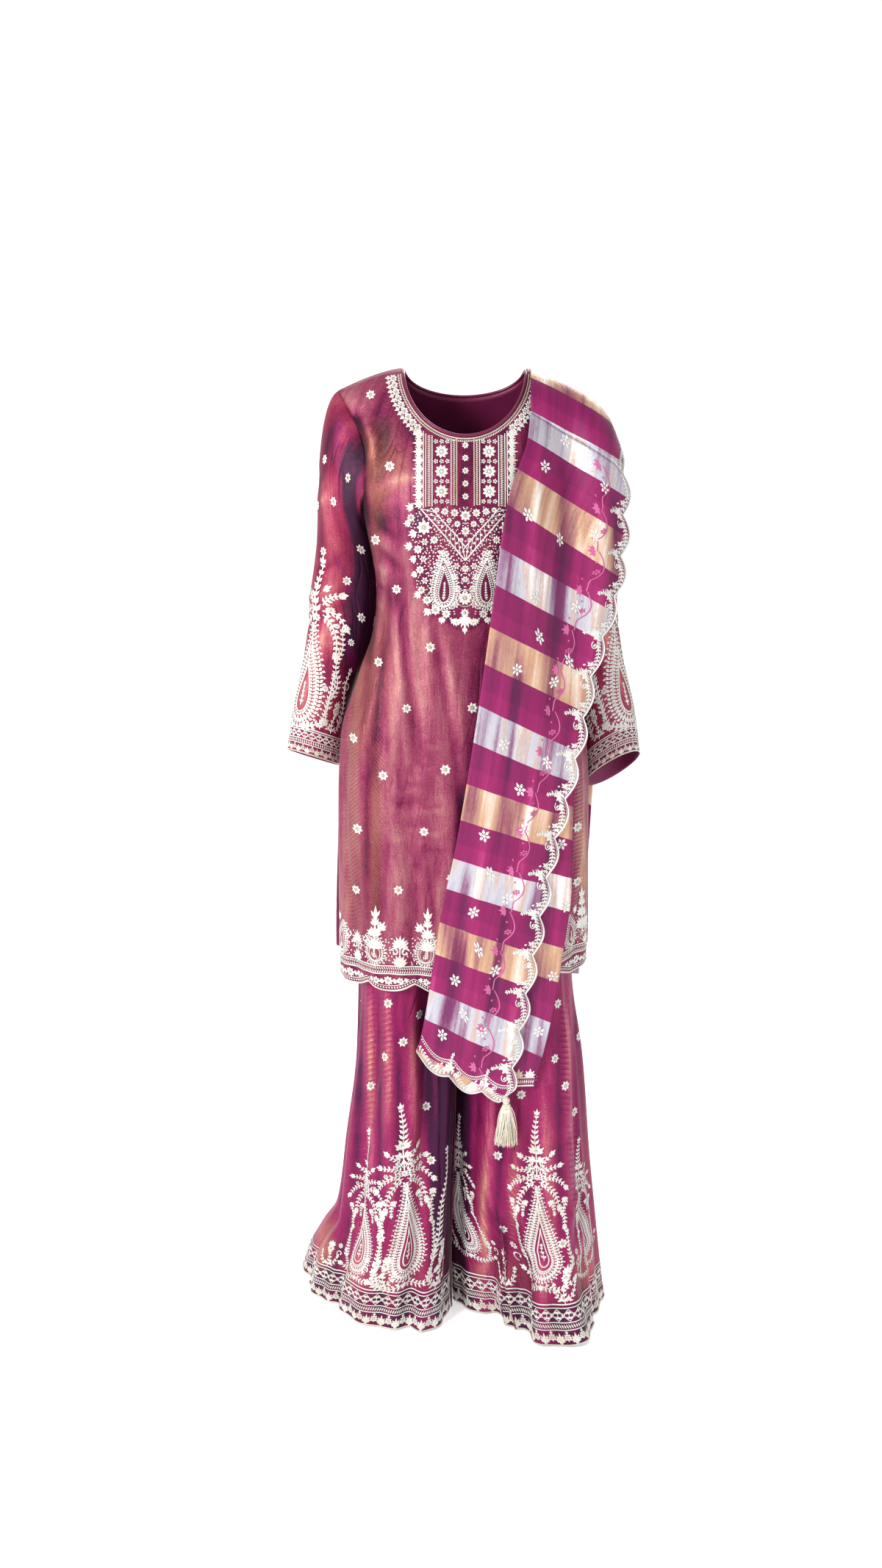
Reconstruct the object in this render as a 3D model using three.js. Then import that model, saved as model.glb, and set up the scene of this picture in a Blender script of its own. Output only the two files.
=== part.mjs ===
// Sharara suit: a long kameez, wide sharara trousers and a dupatta over the wearer's left shoulder.
// Millimetres, +Z up. The front faces -Y and the wearer's left side is +X.
// The origin lies midway between the two high shoulder points, where the wearer holds the suit up.
import * as THREE from "three";

// ---------- driving dimensions ----------
const CLOTH = 1.6; // wall of the kameez and the sharara
const ORGANZA = 1.3; // wall of the dupatta
const SEAM = 0.3; // gap between neighbouring pieces
const NECK_HALF = 95; // half the neck's width, along the shoulder line
const NECK_FRONT = 107; // drop of the front neck
const NECK_BACK = 40; // drop of the back neck
const SHOULDER_HALF = 193; // half the width across the shoulder points
const SHOULDER = {
  right: { drop: 33, curve: 1.45 }, // drop of the shoulder point, and bend of the line towards it
  left: { drop: 45, curve: 1.3 }, // lower, under the dupatta's weight
};
const SHOULDER_ROUND = 90; // height of the rounding over the shoulder
const UNDERARM = -215;
const SLIT_TOP = -660;
const KAMEEZ_HEM = -957;
const SCALLOP_DEEP = 12; // depth of the kameez hem's scallops
const SECTION_POWER = 2.5; // squareness of the kameez in plan
const BAND_TOP = -385;
const BAND_BOTTOM = -420;
const LEG_TOP = BAND_BOTTOM - SEAM;
const CROTCH_TOP = -600;
const CROTCH_POINT = -720;
const SHARARA_HEM = -1529;
const SLEEVE_RING = -255; // level where the sleeve turns into a plain tube
const ARMHOLE_STEPS = 6; // steps from the shoulder point to the underarm, front and back

const COLOUR = {
  kameez: 0xa54b6e,
  sleeve: 0x8c2263,
  sharara: 0x8c1e64,
  piping: 0x7a1450,
  band: 0x74184f,
  dupatta: 0xb0287a,
  under: 0x961a6e,
  tassel: 0xe8dcc0,
};

// ---------- tables ----------
// A table has named columns and a row for each section; its columns are read anywhere between the rows
// along smooth curves that never overshoot a row.
function table(columns, rows) {
  const keys = rows.map((row) => row[0]);
  const step = keys.slice(1).map((key, i) => key - keys[i]);
  const slopes = columns.map((_, c) => {
    const rise = step.map((d, i) => (rows[i + 1][c] - rows[i][c]) / d);
    return keys.map((_, i) => {
      if (i === 0) return rise[0];
      if (i === keys.length - 1) return rise[i - 1];
      const product = rise[i - 1] * rise[i];
      return product <= 0 ? 0 : (2 * product) / (rise[i - 1] + rise[i]);
    });
  });
  const down = keys[keys.length - 1] < keys[0];
  return (key) => {
    const past = (i) => (down ? key <= keys[i] : key >= keys[i]);
    let i = 0;
    while (i < keys.length - 2 && past(i + 1)) i++;
    const t = Math.min(1, Math.max(0, (key - keys[i]) / step[i]));
    const row = {};
    columns.forEach((name, c) => {
      const rise = rows[i + 1][c] - rows[i][c];
      const a = slopes[c][i] * step[i] - rise;
      const b = rise - slopes[c][i + 1] * step[i];
      row[name] = rows[i][c] + t * rise + t * (1 - t) * ((1 - t) * a + t * b);
    });
    return row;
  };
}

// The kameez in plan: half its width and its depth in front of and behind the shoulder line.
const BODY = table(
  ["z", "half", "front", "back"],
  [
    [0, 194, 52, 48],
    [-42, 192, 60, 58],
    [-110, 172, 92, 80],
    [-180, 165, 118, 98],
    [-250, 150, 132, 102],
    [-310, 139, 121, 92],
    [-350, 137, 110, 86],
    [-400, 143, 106, 92],
    [-480, 170, 112, 106],
    [-560, 195, 118, 118],
    [-650, 201, 122, 124],
    [-800, 203, 124, 124],
    [KAMEEZ_HEM, 205, 128, 124],
  ],
);

// Half the width of the front and back panels down the armhole, from the shoulder point to the underarm.
const ARMHOLE = table(
  ["down", "half"],
  [
    [0, 193],
    [0.2, 174],
    [0.4, 160],
    [0.6, 153],
    [0.82, 152],
    [1, 158],
  ],
);

// Levels of the sections below the armhole.
const FRONT_LEVELS = [UNDERARM, -250, -290, -335, -385, -440, -510, -590, -675, -770, -865, KAMEEZ_HEM];
const BACK_LEVELS = [UNDERARM, -260, -310, -360, -430, -520, -620, -730, -845, KAMEEZ_HEM];

// Folds of a panel: place across it at the top and at the foot, half-width, height (minus for a trough),
// and the levels where it starts and where it is at its full height.
const FOLD = ["at", "foot", "wide", "high", "start", "full"];
const folds = (rows) => rows.map((row) => Object.fromEntries(FOLD.map((name, i) => [name, row[i]])));
const KAMEEZ_FRONT_FOLDS = folds([
  [0.16, 0.1, 26, -7, -300, -620],
  [0.22, 0.2, 24, 6, -300, -620],
  [0.33, 0.34, 26, -6, -340, -760],
  [0.46, 0.47, 30, 5, -420, -800],
  [0.66, 0.68, 28, -5, -360, -760],
  [0.8, 0.82, 26, 6, -300, -620],
  [0.87, 0.92, 24, -6, -300, -640],
]);
const KAMEEZ_BACK_FOLDS = folds([
  [0.2, 0.16, 34, -6, -320, -700],
  [0.5, 0.52, 40, -6, -360, -760],
  [0.78, 0.84, 34, -6, -320, -720],
]);

// The sharara over the hips.
const HIPS = table(
  ["z", "half", "front", "back"],
  [
    [-385, 127, 90, 78],
    [-420, 131, 92, 82],
    [-480, 150, 98, 94],
    [-560, 164, 102, 104],
    [-720, 167, 104, 110],
  ],
);

// Each leg in plan: its outermost, foremost, innermost and rearmost points, and how round it is between.
const LEG = ["z", "outX", "outY", "frontX", "frontY", "inX", "inY", "backX", "backY", "round"];
const LEG_RIGHT = table(LEG, [
  [-720, 167, 0, 84, -104, 4, -20, 84, 110, 0.8],
  [-950, 171, 4, 92, -106, 7, -40, 86, 115.6, 0.85],
  [-1100, 177, 8, 98, -112, 10, -50, 88, 120, 0.9],
  [-1250, 197, 14, 100, -121, 14, -56, 92, 128, 0.95],
  [-1380, 215, 28, 96, -131, 17, -60, 98, 136, 1],
  [-1440, 246, 46, 88, -137, 18, -62, 104, 142, 1.05],
  [-1490, 270, 60, 80, -143, 18, -66, 110, 148, 1.1],
  [-1529, 281, 70, 74, -148, 18, -72, 116, 152, 1.15],
]);
const LEG_LEFT = table(LEG, [
  [-720, 167, 0, 84, -104, -1, 20, 84, 110, 0.8],
  [-950, 177, 2, 100, -108, -2, 30, 86, 114.2, 0.8],
  [-1100, 194, 4, 114, -115, -4, 34, 88, 120, 0.8],
  [-1250, 205, 6, 126, -125, -6, 36, 92, 128, 0.82],
  [-1380, 219, 8, 142, -139, -8, 38, 98, 136, 0.88],
  [-1440, 226, 10, 152, -153, -9, 38, 104, 142, 0.94],
  [-1490, 232, 12, 158, -172, -10, 38, 110, 148, 1],
  [-1529, 238, 15, 165, -186, -10, 38, 116, 152, 1.05],
]);
const SHIN_LEVELS = [-850, -980, -1110, -1240, -1370, -1460];
const LEG_LEVELS = [LEG_TOP, -500, CROTCH_TOP, -660, CROTCH_POINT, ...SHIN_LEVELS, SHARARA_HEM];

const RIGHT_FRONT_FOLDS = folds([
  [0.1, 0.12, 22, -9, -700, -1150],
  [0.22, 0.24, 24, 8, -800, -1250],
  [0.34, 0.37, 20, -12, -760, -1200],
  [0.5, 0.53, 34, 8, -760, -1200],
  [0.68, 0.72, 24, -16, -760, -1200],
  [0.84, 0.86, 26, 8, -900, -1400],
]);
const LEFT_FRONT_FOLDS = folds([
  [0.1, 0.1, 22, 8, -760, -1250],
  [0.2, 0.22, 20, -10, -760, -1200],
  [0.36, 0.36, 34, 12, -900, -1480],
  [0.52, 0.55, 24, -12, -800, -1300],
  [0.66, 0.7, 40, -22, -1200, -1520],
  [0.84, 0.84, 20, 9, -860, -1300],
]);
const LEG_BACK_FOLDS = folds([
  [0.14, 0.12, 24, -10, -700, -1200],
  [0.3, 0.31, 26, 9, -760, -1240],
  [0.47, 0.48, 24, -13, -700, -1200],
  [0.64, 0.66, 28, 9, -760, -1240],
  [0.82, 0.84, 24, -11, -760, -1240],
]);

// Each sleeve as a tube: the middle of each section, its half sizes, and how far the section tips down
// towards the body and leans down towards the back. The left one is turned out more at the cuff.
const SLEEVE = ["z", "midX", "midY", "halfX", "halfY", "tip", "lean"];
const SLEEVE_TOP_ROWS = [
  [-255, 192, 14, 36, 54, 0, 0],
  [-300, 189, 27, 46, 48, 2, 1],
  [-350, 191, 38, 52, 46, 3, 2],
  [-410, 199, 45, 51, 45, 5, 3],
];
const SLEEVE_RIGHT = table(SLEEVE, [
  ...SLEEVE_TOP_ROWS,
  [-480, 219, 48, 45, 44, 8, 5],
  [-550, 237, 49, 42, 43, 11, 8],
  [-611, 246, 49, 42, 43, 13, 10],
]);
const SLEEVE_LEFT = table(SLEEVE, [
  ...SLEEVE_TOP_ROWS,
  [-480, 219, 48, 45, 44, 10, 10],
  [-560, 238, 49, 43, 43, 17, 18],
  [-630, 246, 49, 44, 43, 23, 25],
]);
const SLEEVE_ROWS = 7; // rings down the plain tube
const CUFF = { right: -611, left: -630 };
const CAP_STEPS = 4; // rings between the armhole and the plain tube

// The dupatta's front fall: where its plain edge and its scalloped edge lie at each level.
const PLAIN_EDGE = table(
  ["z", "x"],
  [
    [-60, 98],
    [-109, 92],
    [-141, 82],
    [-169, 71],
    [-211, 60],
    [-267, 51],
    [-324, 44],
    [-418, 32],
    [-535, 16],
    [-643, -1],
    [-729, -16],
    [-828, -37],
    [-904, -48],
    [-994, -62],
    [-1062, -76],
  ],
);
const SCALLOP_EDGE = table(
  ["z", "x"],
  [
    [-140, 252],
    [-200, 255],
    [-249, 255],
    [-306, 251],
    [-372, 234],
    [-412, 222],
    [-459, 208],
    [-553, 190],
    [-640, 170],
    [-760, 142],
    [-828, 131],
    [-942, 111],
    [-1085, 88],
    [-1138, 80],
  ],
);
const FALL_TOP = { plain: -70, scallop: -160 };
const FALL_FOOT = { plain: -1060, scallop: -1137 };
const FALL_SCALLOPS = 16;
const EDGE_SCALLOP_DEEP = 12;

// The folded under layer shows past the scalloped edge from the cuff's level down.
const UNDER = table(
  ["z", "inX", "outX"],
  [
    [-150, 150, 206],
    [-400, 112, 184],
    [-560, 92, 172],
    [-700, 82, 168],
    [-780, 76, 168],
    [-918, 60, 152],
    [-1033, 46, 131],
    [-1112, 38, 112],
  ],
);
const UNDER_TOP = { plain: -150, scallop: -190 };
const UNDER_FOOT = -1112;

// The crest of the dupatta over the shoulder, from its plain edge to its scalloped edge.
const CREST = table(
  ["s", "x", "y", "z"],
  [
    [0, 100, 0, -0.6],
    [0.2, 128, 0, -8.5],
    [0.4, 158, 0, -22.5],
    [0.6, 188, 0, -38.6],
    [0.8, 217, 0, -68.4],
    [1, 246, 0, -128],
  ],
);
const BACK_FALL = table(
  ["z", "inX", "outX"],
  [
    [-60, 98, 246],
    [-300, 92, 240],
    [-620, 84, 222],
    [-1010, 78, 206],
  ],
);
const BACK_FALL_TOP = { plain: -70, scallop: -160 };
const BACK_FALL_FOOT = -1010;

// ---------- curves and grids ----------
const mix = (a, b, t) => a + (b - a) * t;
const ease = (t) => {
  const k = Math.min(1, Math.max(0, t));
  return k * k * (3 - 2 * k);
};
const steps = (n) => Array.from({ length: n + 1 }, (_, i) => i / n);
const bend = (value, power) => Math.sign(value) * Math.abs(value) ** power;

// A polyline read at even shares of its length.
function evenly(points, count) {
  const run = [0];
  for (let i = 1; i < points.length; i++) run.push(run[i - 1] + points[i].distanceTo(points[i - 1]));
  const whole = run[run.length - 1];
  let i = 0;
  return steps(count).map((share) => {
    const want = share * whole;
    while (i < points.length - 2 && run[i + 1] < want) i++;
    return points[i].clone().lerp(points[i + 1], (want - run[i]) / (run[i + 1] - run[i]));
  });
}

// Height of a panel's folds at a share across it, for a panel of the given width at the given level.
function foldHeight(list, share, width, z) {
  let sum = 0;
  for (const fold of list) {
    const grown = ease((fold.start - z) / (fold.start - fold.full));
    const offset = ((share - mix(fold.at, fold.foot, grown)) * width) / fold.wide;
    if (Math.abs(offset) < 1) sum += fold.high * grown * Math.cos((Math.PI / 2) * offset) ** 2;
  }
  return sum;
}

// A level row of points pushed out of its own plan curve by the folds; out is +1 or -1. The seams at the
// ends of the row stay in place, and the folds fade out over the columns next to them.
const FADE_COLUMNS = 1.5;
function foldRow(row, list, out) {
  const width = row.slice(1).reduce((sum, point, i) => sum + point.distanceTo(row[i]), 0);
  const last = row.length - 1;
  return row.map((point, i) => {
    const along = row[Math.min(last, i + 1)].clone().sub(row[Math.max(0, i - 1)]);
    const normal = new THREE.Vector3(along.y, -along.x, 0).normalize();
    const fade = ease(Math.min(i, last - i) / FADE_COLUMNS);
    return point.clone().addScaledVector(normal, out * fade * foldHeight(list, i / last, width, point.z));
  });
}

// ---------- walls ----------
// Normals of a grid of points, on the side that cross(along the rows, down the columns) gives.
function gridNormals(grid, wrap) {
  const rows = grid.length;
  const cols = grid[0].length;
  return grid.map((row, r) =>
    row.map((_, c) => {
      const left = wrap ? row[(c + cols - 1) % cols] : row[Math.max(0, c - 1)];
      const right = wrap ? row[(c + 1) % cols] : row[Math.min(cols - 1, c + 1)];
      const up = grid[Math.max(0, r - 1)][c];
      const down = grid[Math.min(rows - 1, r + 1)][c];
      return right.clone().sub(left).cross(down.clone().sub(up)).normalize();
    }),
  );
}

// A grid moved along its normals by a distance. On a seam the move stays in the seam's plane: seam names the
// axes it leaves out at a point.
function movedGrid(grid, distance, { wrap = false, seam = () => "" } = {}) {
  const normals = gridNormals(grid, wrap);
  return grid.map((row, r) =>
    row.map((point, c) => {
      const normal = normals[r][c].clone();
      for (const axis of seam(r, c)) normal[axis] = 0;
      return point.clone().addScaledVector(normal.normalize(), distance);
    }),
  );
}

// A closed wall between an outer and an inner grid.
function wallGeometry(outer, inner, wrap = false) {
  const rows = outer.length;
  const cols = outer[0].length;
  const points = [...outer.flat(), ...inner.flat()];
  const half = rows * cols;
  const at = (layer, r, c) => layer * half + r * cols + (c % cols);
  const faces = [];
  const quad = (a, b, c, d) => faces.push(a, b, c, a, c, d);
  const across = wrap ? cols : cols - 1;
  for (let r = 0; r < rows - 1; r++) {
    for (let c = 0; c < across; c++) {
      quad(at(0, r, c), at(0, r, c + 1), at(0, r + 1, c + 1), at(0, r + 1, c));
      quad(at(1, r, c), at(1, r + 1, c), at(1, r + 1, c + 1), at(1, r, c + 1));
    }
  }
  for (let c = 0; c < across; c++) {
    quad(at(0, 0, c + 1), at(0, 0, c), at(1, 0, c), at(1, 0, c + 1));
    quad(at(0, rows - 1, c), at(0, rows - 1, c + 1), at(1, rows - 1, c + 1), at(1, rows - 1, c));
  }
  if (!wrap) {
    for (let r = 0; r < rows - 1; r++) {
      quad(at(0, r, 0), at(0, r + 1, 0), at(1, r + 1, 0), at(1, r, 0));
      quad(at(0, r + 1, cols - 1), at(0, r, cols - 1), at(1, r, cols - 1), at(1, r + 1, cols - 1));
    }
  }
  return facingOut(points, faces);
}

// A geometry from points and faces, turned so that its faces point out.
function facingOut(points, faces) {
  let volume = 0;
  for (let i = 0; i < faces.length; i += 3) {
    const [a, b, c] = [points[faces[i]], points[faces[i + 1]], points[faces[i + 2]]];
    volume += a.dot(b.clone().cross(c));
  }
  const index = volume < 0 ? [...faces].reverse() : faces;
  const geometry = new THREE.BufferGeometry();
  const places = points.flatMap((p) => p.toArray());
  geometry.setAttribute("position", new THREE.Float32BufferAttribute(places, 3));
  geometry.setIndex(index);
  geometry.computeVertexNormals();
  return geometry;
}

const group = new THREE.Group();
function add(name, geometry, colour) {
  const material = new THREE.MeshStandardMaterial({ color: colour, roughness: 0.6, metalness: 0.1 });
  material.side = THREE.DoubleSide;
  const mesh = new THREE.Mesh(geometry, material);
  mesh.name = name;
  group.add(mesh);
  return mesh;
}

// ---------- kameez ----------
const NECK_RISE = 0.2; // slope of the shoulder line carried on over the neck
function shoulderLine(x) {
  const out = Math.abs(x) - NECK_HALF;
  if (out < 0) return -out * NECK_RISE;
  const { drop, curve } = x < 0 ? SHOULDER.right : SHOULDER.left;
  return -drop * (out / (SHOULDER_HALF - NECK_HALF)) ** curve;
}

// Depth of the kameez at a place, in front of (side -1) or behind (side 1) the shoulder line.
function bodyDepth(x, z, side) {
  const section = BODY(z);
  const deep = side < 0 ? section.front : section.back;
  const share = Math.min(1, Math.abs(x) / section.half);
  const flat = deep * (1 - share ** SECTION_POWER) ** (1 / SECTION_POWER);
  const drop = Math.min(1, Math.max(0, shoulderLine(x) - z) / SHOULDER_ROUND);
  return flat * Math.sqrt(1 - (1 - drop) ** 2);
}

// Half of a level section, from the middle to the side seam, as a fine polyline.
const FINE = 60; // steps of a fine polyline
const EVEN = 200; // even steps read from it
function halfSection(z, side) {
  const section = BODY(z);
  const deep = side < 0 ? section.front : section.back;
  return steps(FINE).map((t) => {
    const angle = (t * Math.PI) / 2;
    const x = section.half * Math.sin(angle) ** (2 / SECTION_POWER);
    const y = side * deep * Math.cos(angle) ** (2 / SECTION_POWER);
    return new THREE.Vector3(x, y, z);
  });
}

const flipped = (row) => row.map((p) => new THREE.Vector3(-p.x, p.y, p.z));
const mirrored = (half) => [...flipped(half.slice(1).reverse()), ...half];

// A level row of a panel below the armhole. Below the slit's top the front panel stops short of the side and
// the back panel hangs flatter and wider.
const SLIT_SHARE = 0.84;
const BACK_HEM_HALF = 216;
const BACK_HEM_CURL = 34;
function panelRow(z, side, columns) {
  const open = ease((SLIT_TOP - z) / (SLIT_TOP - KAMEEZ_HEM));
  const fine = evenly(halfSection(z, side), EVEN);
  const share = side < 0 ? mix(1, SLIT_SHARE, open) : 1;
  const half = steps(columns / 2).map((t) => {
    const point = fine[Math.round(t * share * EVEN)].clone();
    if (side > 0) {
      point.x = mix(point.x, BACK_HEM_HALF * t, open);
      point.y = mix(point.y, BODY(z).back - BACK_HEM_CURL * t * t, open);
    }
    if (t === 1) point.y += (side * SEAM) / 2;
    return point;
  });
  return mirrored(half);
}

const NECK_COLUMNS = 0.29; // share of a panel's columns that ends on the neck's edge, each side
const HEM_SCALLOPS = 6;
function kameezPanel(side, columns, levels, list) {
  const neckDrop = side < 0 ? NECK_FRONT : NECK_BACK;
  const neckSteps = Math.round(columns * NECK_COLUMNS);
  const bust = panelRow(UNDERARM, side, columns);
  const rows = steps(ARMHOLE_STEPS).map((f) =>
    bust.map((foot, c) => {
      if (f === 1) return foot;
      const i = Math.abs(c - columns / 2);
      const mirror = Math.sign(c - columns / 2);
      const out = Math.max(0, i - neckSteps) / (columns / 2 - neckSteps);
      const angle = (Math.min(1, i / neckSteps) * Math.PI) / 2;
      const topX = out > 0 ? mix(NECK_HALF, SHOULDER_HALF, out) : NECK_HALF * Math.sin(angle);
      const topZ = out > 0 ? shoulderLine(mirror * topX) : -neckDrop * Math.cos(angle);
      const share = mix(topX / SHOULDER_HALF, Math.abs(foot.x) / bust[columns].x, f);
      const x = mirror * ARMHOLE(f).half * share;
      const z = mix(topZ, UNDERARM, f);
      return new THREE.Vector3(x, side * Math.max(bodyDepth(x, z, side), SEAM / 2), z);
    }),
  );
  for (const z of levels.slice(1)) rows.push(foldRow(panelRow(z, side, columns), list, -side));
  rows[rows.length - 1].forEach((point, c) => {
    point.z += SCALLOP_DEEP * (1 - Math.abs(Math.sin((Math.PI * HEM_SCALLOPS * c) / columns)));
  });
  const neckEnds = [columns / 2 - neckSteps, columns / 2 + neckSteps];
  const seam = (r, c) => {
    if (r === 0 && (c <= neckEnds[0] || c >= neckEnds[1])) return "y";
    const onSide = rows[r][c].z > SLIT_TOP && (c === 0 || c === columns);
    if (onSide && r === ARMHOLE_STEPS) return "yz";
    return onSide && r > ARMHOLE_STEPS ? "y" : "";
  };
  return { outer: rows, inner: movedGrid(rows, -side * CLOTH, { seam }), neckEnds };
}
const FRONT_COLUMNS = 24;
const BACK_COLUMNS = 18;
const front = kameezPanel(-1, FRONT_COLUMNS, FRONT_LEVELS, KAMEEZ_FRONT_FOLDS);
const back = kameezPanel(1, BACK_COLUMNS, BACK_LEVELS, KAMEEZ_BACK_FOLDS);
add("kameez_front", wallGeometry(front.outer, front.inner), COLOUR.kameez);
add("kameez_back", wallGeometry(back.outer, back.inner), COLOUR.kameez);

// A ring of points round an opening. Each holds its place on both faces of the wall and a panel point
// further in; away leads out over the edge, square to it and along the cloth.
function withAway(ring) {
  const middle = ({ outer, inner }) => outer.clone().lerp(inner, 0.5);
  return ring.map((frame, i) => {
    const before = middle(ring[(i + ring.length - 1) % ring.length]);
    const after = middle(ring[(i + 1) % ring.length]);
    const through = frame.outer.clone().sub(frame.inner).normalize();
    const away = through.clone().cross(after.sub(before)).normalize();
    if (away.dot(middle(frame).sub(frame.within)) < 0) away.negate();
    return { ...frame, middle: middle(frame), through, away };
  });
}
const atMiddle = (point) => point.clone().setY(0);
const onSeam = (frame) => ({ ...frame, outer: atMiddle(frame.outer), inner: atMiddle(frame.inner) });

// The neck piping stands on the raw edge of both panels, all round the neck.
const PIPING_GAP = 1; // room for the straight facets of a curved edge
const PIPING_TALL = 3;
const PIPING_THICK = 3;
function neckPiping() {
  const edgeOf = ({ outer, inner, neckEnds: [first, last] }) =>
    Array.from({ length: last - first + 1 }, (_, i) => first + i).map((c) => ({
      outer: outer[0][c],
      inner: inner[0][c],
      within: outer[1][c],
    }));
  const loop = [...edgeOf(front), ...edgeOf(back).reverse().slice(1, -1)];
  const frontSteps = front.neckEnds[1] - front.neckEnds[0];
  for (const i of [0, frontSteps]) loop[i] = onSeam(loop[i]);
  const ring = withAway(loop);
  const corner = (frame, up, out) =>
    frame.middle
      .clone()
      .addScaledVector(frame.away, PIPING_GAP + up * PIPING_TALL)
      .addScaledVector(frame.through, out * PIPING_THICK);
  const outer = [ring.map((f) => corner(f, 0, 0.5)), ring.map((f) => corner(f, 1, 0.5))];
  const inner = [ring.map((f) => corner(f, 0, -0.5)), ring.map((f) => corner(f, 1, -0.5))];
  return wallGeometry(outer, inner, true);
}
add("neck_piping", neckPiping(), COLOUR.piping);

// ---------- sleeves ----------
// Points round the sleeve go from the shoulder point down the front to the underarm and up the back.
// The first ring meets the armhole's edge; the cap bulges out to the first section of the plain tube.
const CAP_BULGE = { out: 17, up: 96, sideOut: 8, sideUp: 22, underOut: 9, forward: -20, rearward: 16 };
const CAP_PEAK = 1.5; // how narrow the bulge is over the shoulder point
function sleeveRing(section, z, count) {
  return Array.from({ length: count }, (_, i) => {
    const angle = (2 * Math.PI * i) / count;
    const x = section.midX + section.halfX * Math.cos(angle);
    const y = section.midY - section.halfY * Math.sin(angle);
    const rise = section.tip * Math.cos(angle) + section.lean * Math.sin(angle);
    return new THREE.Vector3(x, y, z + rise);
  });
}

// A sleeve is worked out on the wearer's left, and turned over for the right.
const ARMHOLE_GAP = 0.6; // twice this under the arm, where the sleeve folds down
const TURN_EARLY = 0.2; // how far above the underarm the sleeve starts to fold down
function sleeveWall(onLeft, sections, cuff) {
  const edgeOf = (panel) =>
    panel.outer.slice(0, ARMHOLE_STEPS + 1).map((row, r) => {
      const [edge, next] = onLeft ? [row.length - 1, row.length - 2] : [0, 1];
      const further = r < ARMHOLE_STEPS ? row[next] : panel.outer[r + 1][edge];
      const points = [row[edge], panel.inner[r][edge], further];
      const [outer, inner, within] = points.map((p) => new THREE.Vector3(Math.abs(p.x), p.y, p.z));
      return { outer, inner, within };
    });
  const loop = [...edgeOf(front), ...edgeOf(back).reverse().slice(1, -1)];
  for (const i of [0, ARMHOLE_STEPS]) loop[i] = onSeam(loop[i]);
  // Round the top the sleeve carries on from the panels' edge; under the arm it turns down just outside it.
  const armhole = { outer: [], inner: [] };
  withAway(loop).forEach((frame, i) => {
    const turned = ease(TURN_EARLY - Math.cos((2 * Math.PI * i) / loop.length));
    const gap = frame.away.clone().lerp(frame.through, turned).setLength(ARMHOLE_GAP * (1 + turned));
    const wall = frame.through.clone().lerp(frame.away.clone().negate(), turned).setLength(CLOTH);
    armhole.outer.push(frame.outer.clone().add(gap));
    armhole.inner.push(frame.outer.clone().add(gap).sub(wall));
  });
  const count = armhole.outer.length;
  const tube = steps(SLEEVE_ROWS).map((t) => {
    const z = mix(SLEEVE_RING, cuff, t);
    return sleeveRing(sections(z), z, count);
  });
  const cap = steps(CAP_STEPS).slice(1, -1).map((t) =>
    armhole.outer.map((from, i) => {
      const to = tube[0][i];
      const angle = (2 * Math.PI * i) / count;
      const top = Math.max(0, Math.cos(angle));
      const low = Math.max(0, -Math.cos(angle));
      const side = Math.abs(Math.sin(angle));
      const bulge = new THREE.Vector3(
        CAP_BULGE.out * top + CAP_BULGE.sideOut * side + CAP_BULGE.underOut * low,
        Math.sin(angle) > 0 ? CAP_BULGE.forward * side : CAP_BULGE.rearward * side,
        CAP_BULGE.up * top ** CAP_PEAK + CAP_BULGE.sideUp * side,
      );
      const control = from.clone().lerp(to, 0.5).add(bulge);
      return from.clone().lerp(control, t).lerp(control.clone().lerp(to, t), t);
    }),
  );
  const outer = [armhole.outer, ...cap, ...tube];
  const inner = movedGrid(outer, -CLOTH, { wrap: true });
  inner[0] = armhole.inner;
  return { outer, inner };
}
const leftSleeve = sleeveWall(true, SLEEVE_LEFT, CUFF.left);
add("sleeve_left", wallGeometry(leftSleeve.outer, leftSleeve.inner, true), COLOUR.sleeve);
const rightSleeve = sleeveWall(false, SLEEVE_RIGHT, CUFF.right);
const [rightOuter, rightInner] = [rightSleeve.outer.map(flipped), rightSleeve.inner.map(flipped)];
add("sleeve_right", wallGeometry(rightOuter, rightInner, true), COLOUR.sleeve);

// ---------- sharara ----------
function hipRing(z, count) {
  const section = HIPS(z);
  return Array.from({ length: count }, (_, i) => {
    const angle = (2 * Math.PI * i) / count;
    const x = section.half * bend(Math.cos(angle), 2 / SECTION_POWER);
    const deep = Math.sin(angle) > 0 ? section.back : section.front;
    return new THREE.Vector3(x, deep * bend(Math.sin(angle), 2 / SECTION_POWER), z);
  });
}
const BAND_THICK = 3;
const BAND_COLUMNS = 28;
const bandRings = [BAND_TOP, BAND_BOTTOM].map((z) => hipRing(z, BAND_COLUMNS));
const bandInner = movedGrid(bandRings, BAND_THICK, { wrap: true });
add("sharara_waistband", wallGeometry(bandRings, bandInner, true), COLOUR.band);

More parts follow.
